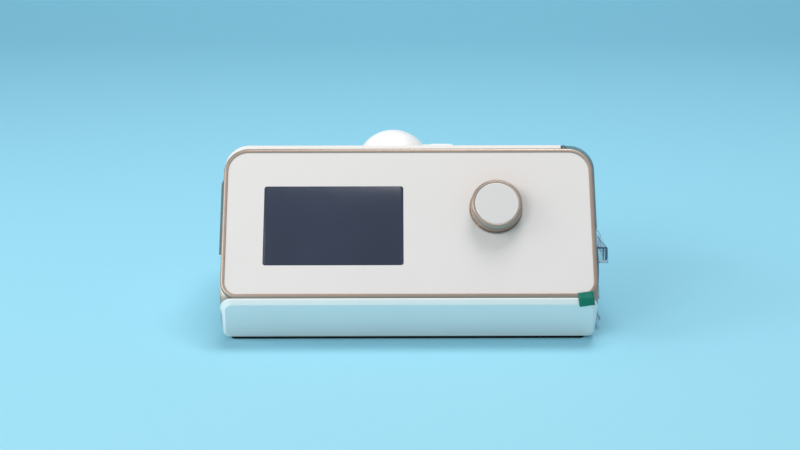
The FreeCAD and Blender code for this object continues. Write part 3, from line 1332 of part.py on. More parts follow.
def filter_cover():
    """Louvred cover that hinges down along its lower edge."""
    thick = ("cover_outer", "cover_inner")
    step = "cover_low + cover_barrel*2 + fit_gap*4"
    plate = prism("cover_plate", "side", *thick, [
        (behind_panel(f"({step})", "cover_set"), step, "fit_gap*5"),
        ("cover_back", step, "fit_gap*5"), ("cover_back", "cover_high", "cover_corner"),
        (behind_panel("cover_high", "cover_set"), "cover_high", "cover_corner")])
    start = f"{KNUCKLES[0]} + knuckle_length + fit_gap"
    end = f"{KNUCKLES[1]} - fit_gap"
    strip = block("cover_strip", thick, (start, end), ("hinge_level", f"{step} + cover_barrel"))
    barrel = rod("cover_barrel_rod", "cover_barrel", f"({end}) - ({start})", "cover_axis", start,
                 "hinge_level", "y")
    pins = rod("cover_pins", "cover_pin", f"({end}) - ({start}) + knuckle_length*2",
               "cover_axis", f"{start} - knuckle_length", "hinge_level", "y")
    slots = []
    for index in range(int(value("louvre_count"))):
        low = f"(cover_low + louvre_margin*1.6 + louvre_pitch*{index})"
        slots.append(block(f"louvre_{index}", (f"{thick[0]} - 1", f"{thick[1]} + 0.05"),
                           (behind_panel(low, "cover_set + louvre_margin*2"),
                            "cover_back - louvre_margin"),
                           (low, f"{low} + louvre_width")))
    whole = fuse("cover_whole", plate, strip, barrel, pins)
    return keep(cut("filter_cover_solid", whole, *slots), "filter_cover")


# ---------------------------------------------------------------------------------------------
# Electronics, feet and fasteners
# ---------------------------------------------------------------------------------------------
def main_board():
    """Power and control board that stands in front of the rear wall."""
    return keep(block("main_board_solid", ("main_left", "main_right"),
                      ("main_front", "main_back"), ("main_low", "main_high")), "main_board")


def power_jack():
    """Round low-voltage socket in the rear wall, soldered to the main board."""
    barrel = rod("jack_barrel", "jack_radius", "rear - main_back", "jack_across", "main_back",
                 "jack_up", "y")
    bore = rod("jack_bore", "jack_bore", "jack_depth*2", "jack_across", "rear - jack_depth",
               "jack_up", "y")
    tip = rod("jack_tip", "jack_bore/3", "jack_depth*0.8", "jack_across", "rear - jack_depth",
              "jack_up", "y")
    return keep(fuse("power_jack_solid", cut("jack_shell", barrel, bore), tip), "power_jack")


def rubber_feet():
    """Four feet let into the casing's floor."""
    feet = [rod(f"foot_{index}", "foot_radius", "foot_thick", across, back, "0")
            for index, (across, back) in enumerate(FEET)]
    return keep(group("rubber_feet_group", feet), "rubber_feet")


def casing_screws():
    """Screws that hold the casing together from below."""
    screws = []
    for name, across, back in SCREWS:
        head = rod(f"head_{name}", "screw_head", "head_thick", across, back,
                   "foot_gap + screw_sink - head_thick")
        shank = rod(f"shank_{name}", "screw_radius", "screw_length", across, back,
                    "foot_gap + screw_sink")
        screws.append(fuse(f"screw_{name}", head, shank))
    return keep(group("casing_screws_group", screws), "casing_screws")


outlet_collar()
outlet_elbow()
outlet_duct()
blower_housing()
blower_cover()
blower_motor()
impeller()
blower_mounts()
filter_tray()
inlet_filter()
intake_duct()
filter_cover()
main_board()
power_jack()
rubber_feet()
casing_screws()


# ---------------------------------------------------------------------------------------------
# Checks and files
# ---------------------------------------------------------------------------------------------
def finish():
    """Stop on any failed feature, then write one file for each sub-part."""
    doc.recompute()
    failed = [item.Name for item in doc.Objects
              if "Invalid" in item.State or "Error" in item.State]
    if failed:
        raise RuntimeError("features failed: " + ", ".join(failed))
    for item in PARTS:
        if item.Shape.isNull() or not item.Shape.isValid() or not item.Shape.Solids:
            raise RuntimeError("sub-part has no sound shape: " + item.Label)
    os.makedirs("parts", exist_ok=True)
    for item in PARTS:
        item.Shape.exportStep(os.path.join("parts", item.Label + ".step"))
    print(len(PARTS), "sub-parts written")


finish()
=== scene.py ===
"""Looks of the bedside airway machine: finishes, fine pieces, floor, light and camera."""

import json
import math

import bmesh
import bpy
from mathutils import Matrix, Vector


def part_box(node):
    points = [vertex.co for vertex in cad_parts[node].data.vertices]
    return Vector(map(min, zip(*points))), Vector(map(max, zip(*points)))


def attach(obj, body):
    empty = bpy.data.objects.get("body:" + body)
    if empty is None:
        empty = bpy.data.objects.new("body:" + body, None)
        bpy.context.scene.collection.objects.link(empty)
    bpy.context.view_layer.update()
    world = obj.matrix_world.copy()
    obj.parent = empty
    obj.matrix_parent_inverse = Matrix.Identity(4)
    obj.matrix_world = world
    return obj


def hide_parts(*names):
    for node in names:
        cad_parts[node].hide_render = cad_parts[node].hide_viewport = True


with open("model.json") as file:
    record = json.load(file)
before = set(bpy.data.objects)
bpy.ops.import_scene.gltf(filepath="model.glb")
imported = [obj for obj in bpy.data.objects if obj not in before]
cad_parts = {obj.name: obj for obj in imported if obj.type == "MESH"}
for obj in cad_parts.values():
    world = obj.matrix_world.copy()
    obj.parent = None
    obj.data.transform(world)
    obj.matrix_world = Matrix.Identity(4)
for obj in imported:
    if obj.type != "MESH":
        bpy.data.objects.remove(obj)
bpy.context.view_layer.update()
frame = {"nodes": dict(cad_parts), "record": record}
nodes = frame["nodes"]
MM = 0.001


# ---------------------------------------------------------------------------------------------
# Places that the pieces share, in metres
# ---------------------------------------------------------------------------------------------
TILT = math.radians(34.0)                      # the panel's lean from the vertical
MIDDLE = -4.8*MM                               # the casing's middle
NOSE = Vector((MIDDLE, -84.0*MM, 36.5*MM))     # lower edge of the panel, at its middle
UP_SLOPE = Vector((0, math.sin(TILT), math.cos(TILT)))
OUTWARD = Vector((0, -math.cos(TILT), math.sin(TILT)))


# ---------------------------------------------------------------------------------------------
# Materials
# ---------------------------------------------------------------------------------------------
GRAIN_DEPTH = 0.02*MM
RIPPLE_DEPTH = 0.2*MM
TALC_DEPTH = 0.06*MM
POLYCARBONATE = 1.58                           # its index of refraction
NOISE_RANGE = (0.3, 0.7)                       # between which most of a noise lies
materials = {}


def node_tree(name):
    """Make a material and give its tree, its Principled shader and the object coordinates."""
    material = materials[name] = bpy.data.materials.new(name)
    material.use_nodes = True
    tree = material.node_tree
    coordinates = tree.nodes.new("ShaderNodeTexCoord")
    return tree, tree.nodes["Principled BSDF"], coordinates.outputs["Object"]


def noise(tree, where, scale, detail=3.0, stretch=(1, 1, 1)):
    """Noise over the object, with a scale in 1/m that may differ by axis."""
    mapping = tree.nodes.new("ShaderNodeMapping")
    mapping.inputs["Scale"].default_value = stretch
    tree.links.new(where, mapping.inputs["Vector"])
    texture = tree.nodes.new("ShaderNodeTexNoise")
    texture.inputs["Scale"].default_value = scale
    texture.inputs["Detail"].default_value = detail
    tree.links.new(mapping.outputs["Vector"], texture.inputs["Vector"])
    return texture.outputs["Fac"]


def ramp(tree, factor, low, high, between=NOISE_RANGE):
    """Map a factor that lies between two places to a colour between two colours."""
    node = tree.nodes.new("ShaderNodeValToRGB")
    for element, place, colour in zip(node.color_ramp.elements, between, (low, high)):
        element.position = place
        element.color = (*colour, 1)
    tree.links.new(factor, node.inputs["Fac"])
    return node.outputs["Color"]


def spread(tree, factor, low, high, between=NOISE_RANGE):
    """Map a factor that lies between two places to a number between two values."""
    node = tree.nodes.new("ShaderNodeMapRange")
    for name, value in zip(("From Min", "From Max", "To Min", "To Max"), (*between, low, high)):
        node.inputs[name].default_value = value
    tree.links.new(factor, node.inputs["Value"])
    return node.outputs["Result"]


def tint(tree, shader, factor, colour, share):
    """Vary a surface's colour by a share to either side."""
    low, high = [[min(1.0, max(0.0, part*(1 + change))) for part in colour]
                 for change in (-share, share)]
    tree.links.new(ramp(tree, factor, low, high), shader.inputs["Base Color"])


def waver(tree, shader, name, factor, middle, share):
    """Vary one of a surface's numbers, which is at most 1, by a share to either side."""
    result = spread(tree, factor, middle*(1 - share), min(1, middle*(1 + share)))
    tree.links.new(result, shader.inputs[name])


def bump(tree, shader, height, strength, distance):
    """Raise the surface by a height."""
    node = tree.nodes.new("ShaderNodeBump")
    node.inputs["Strength"].default_value = strength
    node.inputs["Distance"].default_value = distance
    tree.links.new(height, node.inputs["Height"])
    tree.links.new(node.outputs["Normal"], shader.inputs["Normal"])


def plastic(name, colour, rough, grain=2600.0, strength=0.12, vary=0.02, specular=0.5):
    """Moulded plastic with fine spark-eroded grain and slight unevenness."""
    tree, shader, where = node_tree(name)
    tint(tree, shader, noise(tree, where, scale=14.0, detail=2.0), colour, vary)
    waver(tree, shader, "Roughness", noise(tree, where, scale=60.0), rough, share=0.1)
    bump(tree, shader, noise(tree, where, grain, detail=2.0), strength, GRAIN_DEPTH)
    shader.inputs["Specular IOR Level"].default_value = specular


def metal(name, colour, rough, grain=900.0, stretch=(1, 1, 1), strength=0.1, metallic=1.0):
    """Satin or brushed metal, brushed where stretch differs by axis."""
    tree, shader, where = node_tree(name)
    lines = noise(tree, where, grain, stretch=stretch)
    tint(tree, shader, lines, colour, share=0.05)
    waver(tree, shader, "Roughness", lines, rough, share=0.15)
    bump(tree, shader, lines, strength, GRAIN_DEPTH)
    shader.inputs["Metallic"].default_value = metallic


def clear(name, colour, rough, cover):
    """Clear or smoked polycarbonate with faint moulding ripples.

    It covers a share of what is behind it.
    """
    tree, shader, where = node_tree(name)
    ripple = noise(tree, where, scale=60.0, detail=2.0)
    tint(tree, shader, ripple, colour, share=0.02)
    waver(tree, shader, "Roughness", noise(tree, where, scale=180.0), rough, share=0.3)
    waver(tree, shader, "Alpha", ripple, cover, share=0.02)
    bump(tree, shader, ripple, strength=0.03, distance=RIPPLE_DEPTH)
    shader.inputs["IOR"].default_value = POLYCARBONATE


def rubber(name, colour, rough):
    """Soft matt rubber or silicone with a talc bloom."""
    tree, shader, where = node_tree(name)
    speck = noise(tree, where, scale=1400.0, detail=4.0)
    tint(tree, shader, speck, colour, share=0.15)
    waver(tree, shader, "Roughness", noise(tree, where, scale=90.0), rough, share=0.1)
    bump(tree, shader, speck, strength=0.3, distance=TALC_DEPTH)
    shader.inputs["Specular IOR Level"].default_value = 0.2


# The record's slots, and three variants of the scene's own: painted shade in the notches below the
# frame's corners, painted shade on the edges of clear pieces, and a painted highlight on the latch
plastic("white_casing", (0.81, 0.81, 0.80), rough=0.42)
# its slight cyan cast, less red than the casing, is painted light: it stands in for light bounced
# up from the floor
plastic("white_fascia", (0.80, 0.845, 0.84), rough=0.36, grain=3200.0)
plastic("white_inner", (0.70, 0.71, 0.71), rough=0.5)
plastic("white_elbow", (0.84, 0.84, 0.835), rough=0.30, strength=0.05)
metal("champagne_trim", (0.42, 0.335, 0.28), rough=0.42, grain=1500.0, metallic=0.8)
# painted shade: a grey for the casing's side in shadow, in the notches below the frame's corners
metal("painted_notch_shade", (0.40, 0.395, 0.365), rough=0.42, grain=1500.0, metallic=0.9)
plastic("pale_panel", (0.70, 0.66, 0.645), rough=0.45, grain=4200.0, strength=0.08, vary=0.008)
plastic("dark_glass", (0.027, 0.037, 0.066), rough=0.20, strength=0.0, vary=0.08)
metal("display_metal", (0.55, 0.56, 0.58), rough=0.35)
plastic("circuit_board", (0.03, 0.17, 0.09), rough=0.35, grain=700.0, strength=0.2, vary=0.15)
rubber("black_foam", (0.03, 0.03, 0.03), rough=0.9)
metal("plated_steel", (0.60, 0.60, 0.61), rough=0.28, grain=1200.0)
metal("knob_satin", (0.68, 0.66, 0.655), rough=0.42, grain=2400.0, metallic=0.25)
plastic("green_tape", (0.002, 0.160, 0.110), rough=0.45, grain=900.0, strength=0.2, vary=0.06,
        specular=0.3)
rubber("grey_silicone", (0.42, 0.43, 0.44), rough=0.6)
metal("brushed_plate", (0.58, 0.58, 0.58), rough=0.3, grain=700.0, stretch=(1, 30, 1),
      strength=0.25)
clear("clear_tank", (0.50, 0.66, 0.74), rough=0.06, cover=0.45)
clear("smoked_lid", (0.14, 0.26, 0.31), rough=0.10, cover=0.72)
# painted shade: dark blue for the edges of clear plastic, where light is bent away
clear("painted_edge_shade", (0.07, 0.16, 0.25), rough=0.10, cover=0.85)
# painted highlight: near-white for light glinting along the latch's lower edge
clear("painted_glint", (0.86, 0.92, 0.95), rough=0.10, cover=0.85)
clear("clear_latch", (0.60, 0.72, 0.82), rough=0.08, cover=0.26)
plastic("black_plastic", (0.03, 0.03, 0.033), rough=0.5)
plastic("impeller_plastic", (0.62, 0.62, 0.60), rough=0.4)
rubber("filter_fleece", (0.74, 0.74, 0.72), rough=0.95)
plastic("dark_grille", (0.11, 0.175, 0.19), rough=0.55, grain=1600.0, strength=0.25, vary=0.06)
# near-black; the strip under the fascia also wears it as painted shade
rubber("rubber_feet", (0.006, 0.009, 0.012), rough=0.8)


def dress_nodes():
    """Give every CAD node the finish of its slot."""
    for entry in frame["record"]["subparts"]:
        piece = nodes[entry["node"]]
        piece.data.materials.clear()
        piece.data.materials.append(materials[entry["material_slot"]])


dress_nodes()


# ---------------------------------------------------------------------------------------------
# Rounded edges on the shells that are in view
# ---------------------------------------------------------------------------------------------
CLEAR_PIECES = ("tank_lid", "tank_body", "tank_latch")
ROUNDED = {"upper_shell": 0.5, "lower_shell": 0.5, "tank_lid": 0.35, "tank_body": 0.4,
           "tank_latch": 0.5, "outlet_elbow": 0.4, "rear_cheek": 0.5, "filter_cover": 0.3,
           "knob_front_ring": 0.25, "knob_skirt_ring": 0.2, "knob_base_ring": 0.2,
           "screen_lens": 0.15, "tank_bay": 0.3, "rubber_feet": 0.4}      # radius in mm
WELD_GAP = 0.01*MM


def bevel(piece, width, angle):
    """Round the edges of a piece that are sharper than an angle in degrees."""
    edge = piece.modifiers.new("round", "BEVEL")
    edge.width = width
    edge.segments = 2
    edge.limit_method = "ANGLE"
    edge.angle_limit = math.radians(angle)
    return edge


def soften():
    """Weld the meshes' seams and round their sharp edges.

    On the clear pieces the rounded edges take a darker finish: painted shade, standing in for the
    dark of light bent away in an edge.
    """
    for name, width in ROUNDED.items():
        piece = nodes[name]
        weld = piece.modifiers.new("weld", "WELD")
        weld.merge_threshold = WELD_GAP
        edge = bevel(piece, width*MM, angle=35)
        if name in CLEAR_PIECES:
            piece.data.materials.append(materials["painted_edge_shade"])
            edge.material = 1


soften()


# ---------------------------------------------------------------------------------------------
# Pieces of the scene's own
# ---------------------------------------------------------------------------------------------
def new_object(name, mesh):
    """Turn a bmesh into an object of the scene."""
    data = bpy.data.meshes.new(name)
    mesh.to_mesh(data)
    mesh.free()
    made = bpy.data.objects.new(name, data)
    bpy.context.scene.collection.objects.link(made)
    return made


def new_piece(name, mesh, body, slot, *stood_for, finish=None):
    """Turn a bmesh into a piece that rides on a body and takes the finish of a slot.

    A piece may have a variant of its slot's finish instead.
    """
    piece = new_object(name, mesh)
    piece.data.materials.append(materials[finish or slot])
    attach(piece, body)
    if stood_for:
        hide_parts(*stood_for)
    return piece


ARC_STEPS = 12                                 # in a quarter or a half circle
TURNS = [math.radians(turn) for turn in range(0, 360, 30)]     # of the points round a bar


def mix(low, high, share):
    """A value part of the way from low to high."""
    return low + (high - low)*share


def loft(mesh, rings):
    """Skin closed rings of points one after another and close both ends."""
    rows = [[mesh.verts.new(point) for point in ring] for ring in rings]
    for near, far in zip(rows, rows[1:]):
        for index in range(len(near)):
            after = (index + 1) % len(near)
            mesh.faces.new((near[index], near[after], far[after], far[index]))
    mesh.faces.new(rows[0])
    mesh.faces.new(rows[-1])
    bmesh.ops.recalc_face_normals(mesh, faces=mesh.faces)


def smooth(piece, angle):
    """Shade a piece smooth but for the edges that are sharper than an angle in degrees."""
    piece.data.shade_smooth()
    piece.data.set_sharp_from_angle(angle=math.radians(angle))


def rounded(piece, width, angle):
    """Round a piece's sharp edges and shade the rest smooth."""
    smooth(piece, angle)
    bevel(piece, width, angle)


# The fascia, which the tape and the strips below and beside it follow
FASCIA_LOW, FASCIA_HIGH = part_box("front_fascia")
FRONT = FASCIA_LOW[1] - 0.9*MM                 # the fascia stands a little proud of the frame
FASCIA_TOP = NOSE.z - 0.25*MM
FASCIA_BOTTOM = 1.8*MM
UNDERCUT = 20.0*MM                             # how far the face leans back to its lower edge
RIM_HEIGHT = 4.6*MM
SIDE_BAND = (1.8*MM, 4.4*MM)                   # width of the side bevels, at the bottom and top
SIDE_DROP = (1.2*MM, 3.8*MM)                   # how far the side bevels fall back
LOW_BAND = 0.8*MM
LOW_SET_BACK = 0.3*MM                          # of the rim behind the face, at the lower edge
EDGE_ROUND = ((0.8*MM, 0.0), (0.23*MM, 0.23*MM), (0.0, 0.8*MM))   # inwards and back
SHOULDER_ROUND = 2.7*MM
SHOULDER_AT = -76.0*MM                         # where the round upper corners end
LEDGE = 32.5*MM                                # top of the block behind the rim
TOP_CORNER, LOW_CORNER, SQUARE_CORNER = 9.0*MM, 5.0*MM, 0.3*MM
SHELL_WALL = 2.0*MM
RING_GAP = 1.0*MM                              # least depth of the shell behind its rim
CORNER_STEPS = 9

# The tape tab
TAB_MIDDLE = (120.95*MM, -0.9*MM)              # across and up the developed face
TAB_SIZE = (10.6*MM, 9.3*MM)
TAB_TURN = math.radians(8.5)
TAB_LIFT = 0.6*MM
TAB_THICK = 0.2*MM
TAB_BEND = 0.9*MM
TAB_WAVE = 0.10*MM
TAB_WAVES = (900, 700)                         # in radians per metre, across and along
TAB_END_LIFT = 0.9*MM
TAB_STUCK = 0.25                               # share of the length below the middle that sticks


def on_fold(across, up, out):
    """A point on the frame's lower corner, where the panel's face folds to the fascia's rim."""
    side = 0.5 + 0.5*math.tanh(up/TAB_BEND)
    lean = (OUTWARD*side + Vector((0, -1, 0))*(1 - side)).normalized()
    high = UP_SLOPE*max(up, 0) + Vector((0, 0, 1))*min(up, 0)
    step = Vector((0, FRONT - NOSE.y, 0))*(1 - side)
    return NOSE + Vector((across, 0, 0)) + step + high + lean*(TAB_LIFT + out)


def tape_tab():
    """A cut length of tape, stuck on askew over the frame's lower corner, with a lifted end."""
    mesh = bmesh.new()
    wide, long = 8, 14
    rows = []
    for row in range(long + 1):
        along = (row/long - 0.5)*TAB_SIZE[1]
        line = []
        for step in range(wide + 1):
            across = (step/wide - 0.5)*TAB_SIZE[0]
            turned_across = across*math.cos(TAB_TURN) - along*math.sin(TAB_TURN)
            turned_up = along*math.cos(TAB_TURN) + across*math.sin(TAB_TURN)
            wave = TAB_WAVE*math.sin(across*TAB_WAVES[0])*math.cos(along*TAB_WAVES[1])
            end = max(0.0, -along/TAB_SIZE[1] - TAB_STUCK)*TAB_END_LIFT
            line.append(mesh.verts.new(on_fold(TAB_MIDDLE[0] + turned_across,
                                               TAB_MIDDLE[1] + turned_up, wave + end)))
        rows.append(line)
    for low, high in zip(rows, rows[1:]):
        for index in range(wide):
            mesh.faces.new((low[index], low[index + 1], high[index + 1], high[index]))
    piece = new_piece("tape_tab", mesh, "main_unit", "green_tape", "pull_tab")
    piece.data.shade_smooth()
    body = piece.modifiers.new("thickness", "SOLIDIFY")
    body.thickness = TAB_THICK
    body.offset = 1


def corner_loop(left, right, low, high, top_radius, low_radius):
    """Points and outward directions round a rectangle with round corners, in the front view."""
    points = []
    corners = ((right, high, -1, -1, top_radius, 0), (left, high, 1, -1, top_radius, 90),
               (left, low, 1, 1, low_radius, 180), (right, low, -1, 1, low_radius, 270))
    for across, up, to_x, to_z, radius, start in corners:
        for step in range(CORNER_STEPS + 1):
            angle = math.radians(start + 90*step/CORNER_STEPS)
            out = (math.cos(angle), math.sin(angle))
            points.append((across + to_x*radius + out[0]*radius,
                           up + to_z*radius + out[1]*radius, out))
    return points


def fascia_rings():
    """Rings of the front fascia, from the middle of its face out over its edge and back."""
    left, right = FASCIA_LOW[0], FASCIA_HIGH[0]
    face, edge, arc, rim = [], [], [], []
    for across, up, (out_x, out_z) in corner_loop(left, right, FASCIA_BOTTOM, FASCIA_TOP,
                                                  TOP_CORNER, LOW_CORNER):
        height = (up - FASCIA_BOTTOM)/(FASCIA_TOP - FASCIA_BOTTOM)
        side = out_x*out_x
        end = RIM_HEIGHT if out_z > 0 else LOW_BAND
        band = mix(end, mix(*SIDE_BAND, height), side)
        inner_up = up - out_z*band
        back = FRONT + UNDERCUT*(FASCIA_TOP - RIM_HEIGHT - inner_up)/(
            FASCIA_TOP - RIM_HEIGHT - FASCIA_BOTTOM)
        outer_back = back + mix(*SIDE_DROP, height)*side + (LOW_SET_BACK if out_z < 0 else 0)
        face.append((across - out_x*band, back, inner_up))
        for ring, (inset, deeper) in zip((edge, arc, rim), EDGE_ROUND):
            ring.append((across - out_x*inset, outer_back + deeper, up - out_z*inset))
    rings = [face, edge, arc, rim]
    for back, top_radius in ((SHOULDER_AT - SHOULDER_ROUND, TOP_CORNER),
                             (SHOULDER_AT, TOP_CORNER), (SHOULDER_AT, SQUARE_CORNER),
                             (FASCIA_HIGH[1], SQUARE_CORNER)):
        loop = corner_loop(left, right, FASCIA_BOTTOM, LEDGE, top_radius, LOW_CORNER)
        rings.append([(across, max(back, front[1] + RING_GAP), up)
                      for (across, up, _), front in zip(loop, rim)])
    inner = corner_loop(left + SHELL_WALL, right - SHELL_WALL, FASCIA_BOTTOM + SHELL_WALL,
                        LEDGE - SHELL_WALL, SQUARE_CORNER, LOW_CORNER - SHELL_WALL)
    rings.append([(across, FASCIA_HIGH[1], up) for across, up, _ in inner])
    rings.append([(across, front[1] + SHELL_WALL*2, up)
                  for (across, up, _), front in zip(inner, rim)])
    return rings


def fascia():
    """Front fascia: a leaning face in a bevelled rim that runs round its upper corners."""
    mesh = bmesh.new()
    loft(mesh, fascia_rings())
    bmesh.ops.remove_doubles(mesh, verts=mesh.verts, dist=WELD_GAP)
    piece = new_piece("fascia", mesh, "main_unit", "white_fascia", "front_fascia")
    rounded(piece, 0.25*MM, angle=25)


STRIP_ENDS = (-129.5*MM, 118.5*MM)
STRIP_DEEP = 7.0*MM
STRIP_SET_BACK = 0.7*MM
STRIP_PROFILE = ((0.02*MM, 0.0), (0.35*MM, 0.0), (1.45*MM, 0.0), (1.75*MM, 0.2*MM))   # up, inset


def shade_strip():
    """Dark strip in the rubber feet's finish under the fascia's lower edge, with round ends:
    painted shade for the gap below the fascia, which lies in shadow.
    """
    mesh = bmesh.new()
    front = FRONT + UNDERCUT + STRIP_SET_BACK
    half = STRIP_DEEP/2
    rings = []
    for up, inset in STRIP_PROFILE:
        ring = []
        for middle, start in ((STRIP_ENDS[1] - half, -90), (STRIP_ENDS[0] + half, 90)):
            for step in range(ARC_STEPS + 1):
                angle = math.radians(start + 180*step/ARC_STEPS)
                reach = half - inset
                ring.append((middle + reach*math.cos(angle),
                             front + half + reach*math.sin(angle), up))
        rings.append(ring)
    loft(mesh, rings)
    piece = new_piece("shade_strip", mesh, "main_unit", "rubber_feet")
    smooth(piece, angle=30)


RIB_AT = (FASCIA_HIGH[0] - 0.9*MM, FASCIA_HIGH[0] + 0.9*MM)   # across, at its low and high end
RIB_LOW, RIB_HIGH = 34.0*MM, 66.0*MM
RIB_BEHIND = 8.6*MM                            # how far the rib lies behind the panel's face
RIB_RADIUS = 1.6*MM
RIB_STEPS = 14
RIB_BLUNT = 0.02                               # keeps its ends from tapering to points


def tank_rib():
    """Rounded rib down the front edge of the tank's end plate, behind the frame; its dark finish
    is painted shade of the plate's edge seen edge-on.
    """
    mesh = bmesh.new()
    rings = []
    for step in range(RIB_STEPS + 1):
        share = step/RIB_STEPS
        up = mix(RIB_LOW, RIB_HIGH, share)
        taper = math.sin(math.pi*min(max(share, RIB_BLUNT), 1 - RIB_BLUNT))**0.5
        across = mix(*RIB_AT, share)
        radius = RIB_RADIUS*taper
        back = NOSE.y + (up - NOSE.z)*math.tan(TILT) + RIB_BEHIND
        rings.append([(across + radius*math.cos(turn), back + radius*math.sin(turn), up)
                      for turn in TURNS])
    loft(mesh, rings)
    piece = new_piece("tank_rib", mesh, "tank", "smoked_lid", finish="painted_edge_shade")
    piece.data.shade_smooth()


LATCH_LOW, LATCH_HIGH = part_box("tank_latch")
GRIP_OUTER = LATCH_HIGH[0] - 1.6*MM
GRIP_WIDTH = 8.9*MM
GRIP_WALL = 2.2*MM                             # from the outer bead to the inner one
GRIP_TOP = 59.4*MM
BEAD_DEEP = LATCH_LOW[1] + 0.2*MM
BEAD_LOW = LATCH_LOW[2] + 0.9*MM
BEAD_GAP = 1.5*MM                              # between the low bead and the upright ones
BEAD_SHORT = 3.0*MM                            # by which the low bead is shorter at its inner end
BEAD_RADIUS = 0.75*MM
THIN_RADIUS = 0.45*MM


def bead(name, start, end, radius, finish):
    """A straight round bead on the front cheek of the latch, between two places."""
    mesh = bmesh.new()
    deeper = Vector((0, 1, 0))
    ends = [Vector((across, BEAD_DEEP, up)) for across, up in (start, end)]
    out = (ends[1] - ends[0]).normalized().cross(deeper)
    loft(mesh, [[middle + out*(radius*math.cos(turn)) + deeper*(radius*math.sin(turn))
                 for turn in TURNS] for middle in ends])
    piece = new_piece(name, mesh, "latch", "clear_latch", finish=finish)
    piece.data.shade_smooth()


def latch_beads():
    """Beads round the finger grip of the latch: painted shade along its top and sides, where its
    walls are seen edge-on, and a painted highlight along its foot.
    """
    inside, inner = GRIP_OUTER - GRIP_WIDTH, GRIP_OUTER - GRIP_WALL
    foot = BEAD_LOW + BEAD_GAP
    bead("latch_bead_top", (inside, GRIP_TOP), (GRIP_OUTER, GRIP_TOP), BEAD_RADIUS, "painted_edge_shade")
    bead("latch_bead_outer", (GRIP_OUTER, GRIP_TOP), (GRIP_OUTER, foot), BEAD_RADIUS, "painted_edge_shade")
    bead("latch_bead_inner", (inner, GRIP_TOP), (inner, foot), THIN_RADIUS, "smoked_lid")
    bead("latch_bead_low", (inside + BEAD_SHORT, BEAD_LOW), (GRIP_OUTER, BEAD_LOW), BEAD_RADIUS,
         "painted_glint")


WEB_LINE = ((29.8*MM, -80.0*MM), (36.5*MM, -80.0*MM), (43.0*MM, -75.6*MM))   # up, deep
WEB_ROUND = ((0.1*MM, 1.3*MM), (0.8*MM, 0.7*MM), (2.4*MM, 0.2*MM), (5.0*MM, 0.0),
             (11.0*MM, 0.0))                   # inwards from the end, set back
WEB_THICK = 0.8*MM


def notch_shade_web(name, edge, inward):
    """Grey metal sheet in the notch below one of the frame's corners: painted shade, standing in
    for the casing's side in shadow there.
    """
    mesh = bmesh.new()
    rings = []
    for inset, back in WEB_ROUND:
        front = [(edge + inward*inset, deep + back, up) for up, deep in WEB_LINE]
        rear = [(across, deep + WEB_THICK, up) for across, deep, up in reversed(front)]
        rings.append(front + rear)
    loft(mesh, rings)
    piece = new_piece(name, mesh, "main_unit", "champagne_trim", finish="painted_notch_shade")
    rounded(piece, 0.1*MM, angle=40)


tape_tab()
notch_shade_web("notch_shade_web_left", FASCIA_LOW[0], 1)
notch_shade_web("notch_shade_web_right", FASCIA_HIGH[0], -1)
fascia()
shade_strip()
tank_rib()
latch_beads()


# ---------------------------------------------------------------------------------------------
# Floor, light and camera
# ---------------------------------------------------------------------------------------------
# The floor's pale cyan is its own colour; its lightening from near to far is painted light
FLOOR_NEAR = (0.275, 0.580, 0.705)
FLOOR_FAR = (0.285, 0.71, 0.92)
PAINTED_FALLOFF_DEPTHS = (-0.6, 2.0)                     # depth over which the floor's painted fall-off of light runs
FLOOR_FROM, FLAT_TO = -3.0, 0.6                # its shading is flat up to the second
HALF_WIDTH = 4.0
CURVE_RADIUS = 1.2
BACK_AT = 2.6
BACK_HEIGHT = 2.4
FLOOR_GRAIN_DEPTH = 0.1*MM
WORLD_STRENGTH = 0.41


def floor():
    """A pale floor that curves up into a backdrop; it grows lighter and bluer with depth, painted
    light standing in for the lamps' fall-off.
    """
    mesh = bmesh.new()
    path = [(FLOOR_FROM, 0.0), (FLAT_TO, 0.0)]
    for step in range(ARC_STEPS + 1):
        angle = math.radians(90*step/ARC_STEPS)
        path.append((BACK_AT - CURVE_RADIUS*(1 - math.sin(angle)),
                     CURVE_RADIUS*(1 - math.cos(angle))))
    path.append((BACK_AT, BACK_HEIGHT))
    rows = [[mesh.verts.new((side*HALF_WIDTH, back, up)) for back, up in path]
            for side in (-1, 1)]
    for index in range(len(path) - 1):
        mesh.faces.new((rows[0][index], rows[1][index], rows[1][index + 1], rows[0][index + 1]))
    piece = new_object("floor", mesh)
    piece.data.shade_smooth()
    tree, shader, where = node_tree("floor_paint")
    axes = tree.nodes.new("ShaderNodeSeparateXYZ")
    tree.links.new(where, axes.inputs["Vector"])
    depth = spread(tree, axes.outputs["Y"], 0.0, 1.0, PAINTED_FALLOFF_DEPTHS)
    tree.links.new(ramp(tree, depth, FLOOR_NEAR, FLOOR_FAR, (0.0, 1.0)),
                   shader.inputs["Base Color"])
    tree.links.new(spread(tree, noise(tree, where, scale=120.0), low=0.75, high=0.85),
                   shader.inputs["Roughness"])
    bump(tree, shader, noise(tree, where, scale=900.0), strength=0.05,
         distance=FLOOR_GRAIN_DEPTH)
    piece.data.materials.append(materials["floor_paint"])


MACHINE = (0, 0, 0.06)                         # its middle, for the lamps' aim


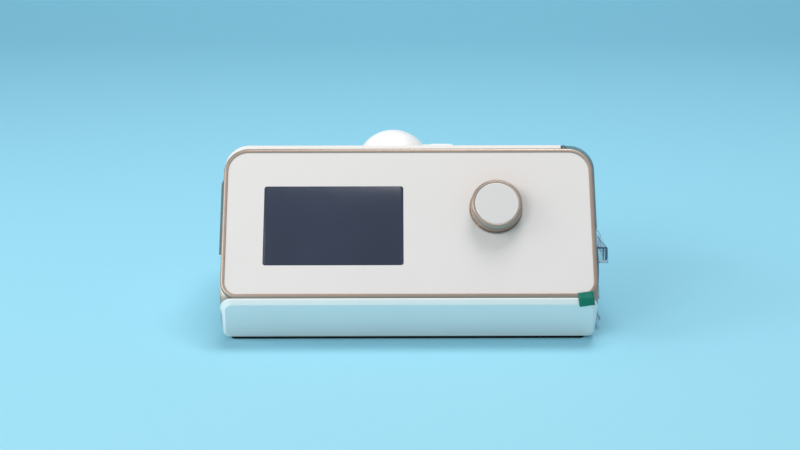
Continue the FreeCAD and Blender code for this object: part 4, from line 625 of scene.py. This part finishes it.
def area_light(name, at, aim, size, power, colour=(1, 1, 1)):
    """A soft square lamp."""
    light = bpy.data.lights.new(name, "AREA")
    light.energy = power
    light.size = size
    light.color = colour
    lamp = bpy.data.objects.new(name, light)
    lamp.location = at
    lamp.rotation_euler = (Vector(aim) - Vector(at)).to_track_quat("-Z", "Y").to_euler()
    bpy.context.scene.collection.objects.link(lamp)


def lights():
    """A lamp overhead, one on the left, a warm one in front, a weak fill and a white world."""
    area_light("overhead", at=(0.22, 0.10, 1.8), aim=(0, 0, 0), size=0.9, power=19.5)
    area_light("left", at=(-1.42, -0.45, 0.85), aim=MACHINE, size=0.8, power=8.0)
    area_light("front", at=(-1.3, -1.85, 1.2), aim=MACHINE, size=1.0, power=18.8,
               colour=(1.0, 0.97, 0.92))
    area_light("right", at=(1.5, -0.6, 0.9), aim=MACHINE, size=0.8, power=0.8)
    world = bpy.data.worlds.new("studio")
    world.use_nodes = True
    world.node_tree.nodes["Background"].inputs["Color"].default_value = (1.0, 1.0, 1.0, 1)
    world.node_tree.nodes["Background"].inputs["Strength"].default_value = WORLD_STRENGTH
    bpy.context.scene.world = world


FOCAL_PIXELS = 1445.0
IMAGE_WIDTH = 800
SENSOR = 36.0
ELEVATION = math.radians(15.4)
YAW = math.radians(0.32)
ROLL = math.radians(-0.03)
DISTANCE = 1.004
TARGET = Vector((MIDDLE - 6.3*MM, NOSE.y + 30*MM, NOSE.z + 43.3*MM))


def camera():
    """A camera where the photographer stood."""
    lens = bpy.data.cameras.new("camera")
    lens.sensor_width = SENSOR
    lens.lens = SENSOR*FOCAL_PIXELS/IMAGE_WIDTH
    eye = bpy.data.objects.new("camera", lens)
    look = Vector((0, math.cos(ELEVATION), -math.sin(ELEVATION)))
    turn = Matrix.Rotation(-YAW, 4, "Z")
    pivot = Vector((MIDDLE, NOSE.y, 0))
    spot = turn @ (TARGET - look*DISTANCE - pivot) + pivot
    facing = (turn @ look).to_track_quat("-Z", "Y").to_matrix().to_4x4()
    eye.matrix_world = Matrix.Translation(spot) @ facing @ Matrix.Rotation(ROLL, 4, "Z")
    bpy.context.scene.collection.objects.link(eye)
    bpy.context.scene.camera = eye


floor()
lights()
camera()
bpy.context.scene.view_settings.view_transform = "Standard"
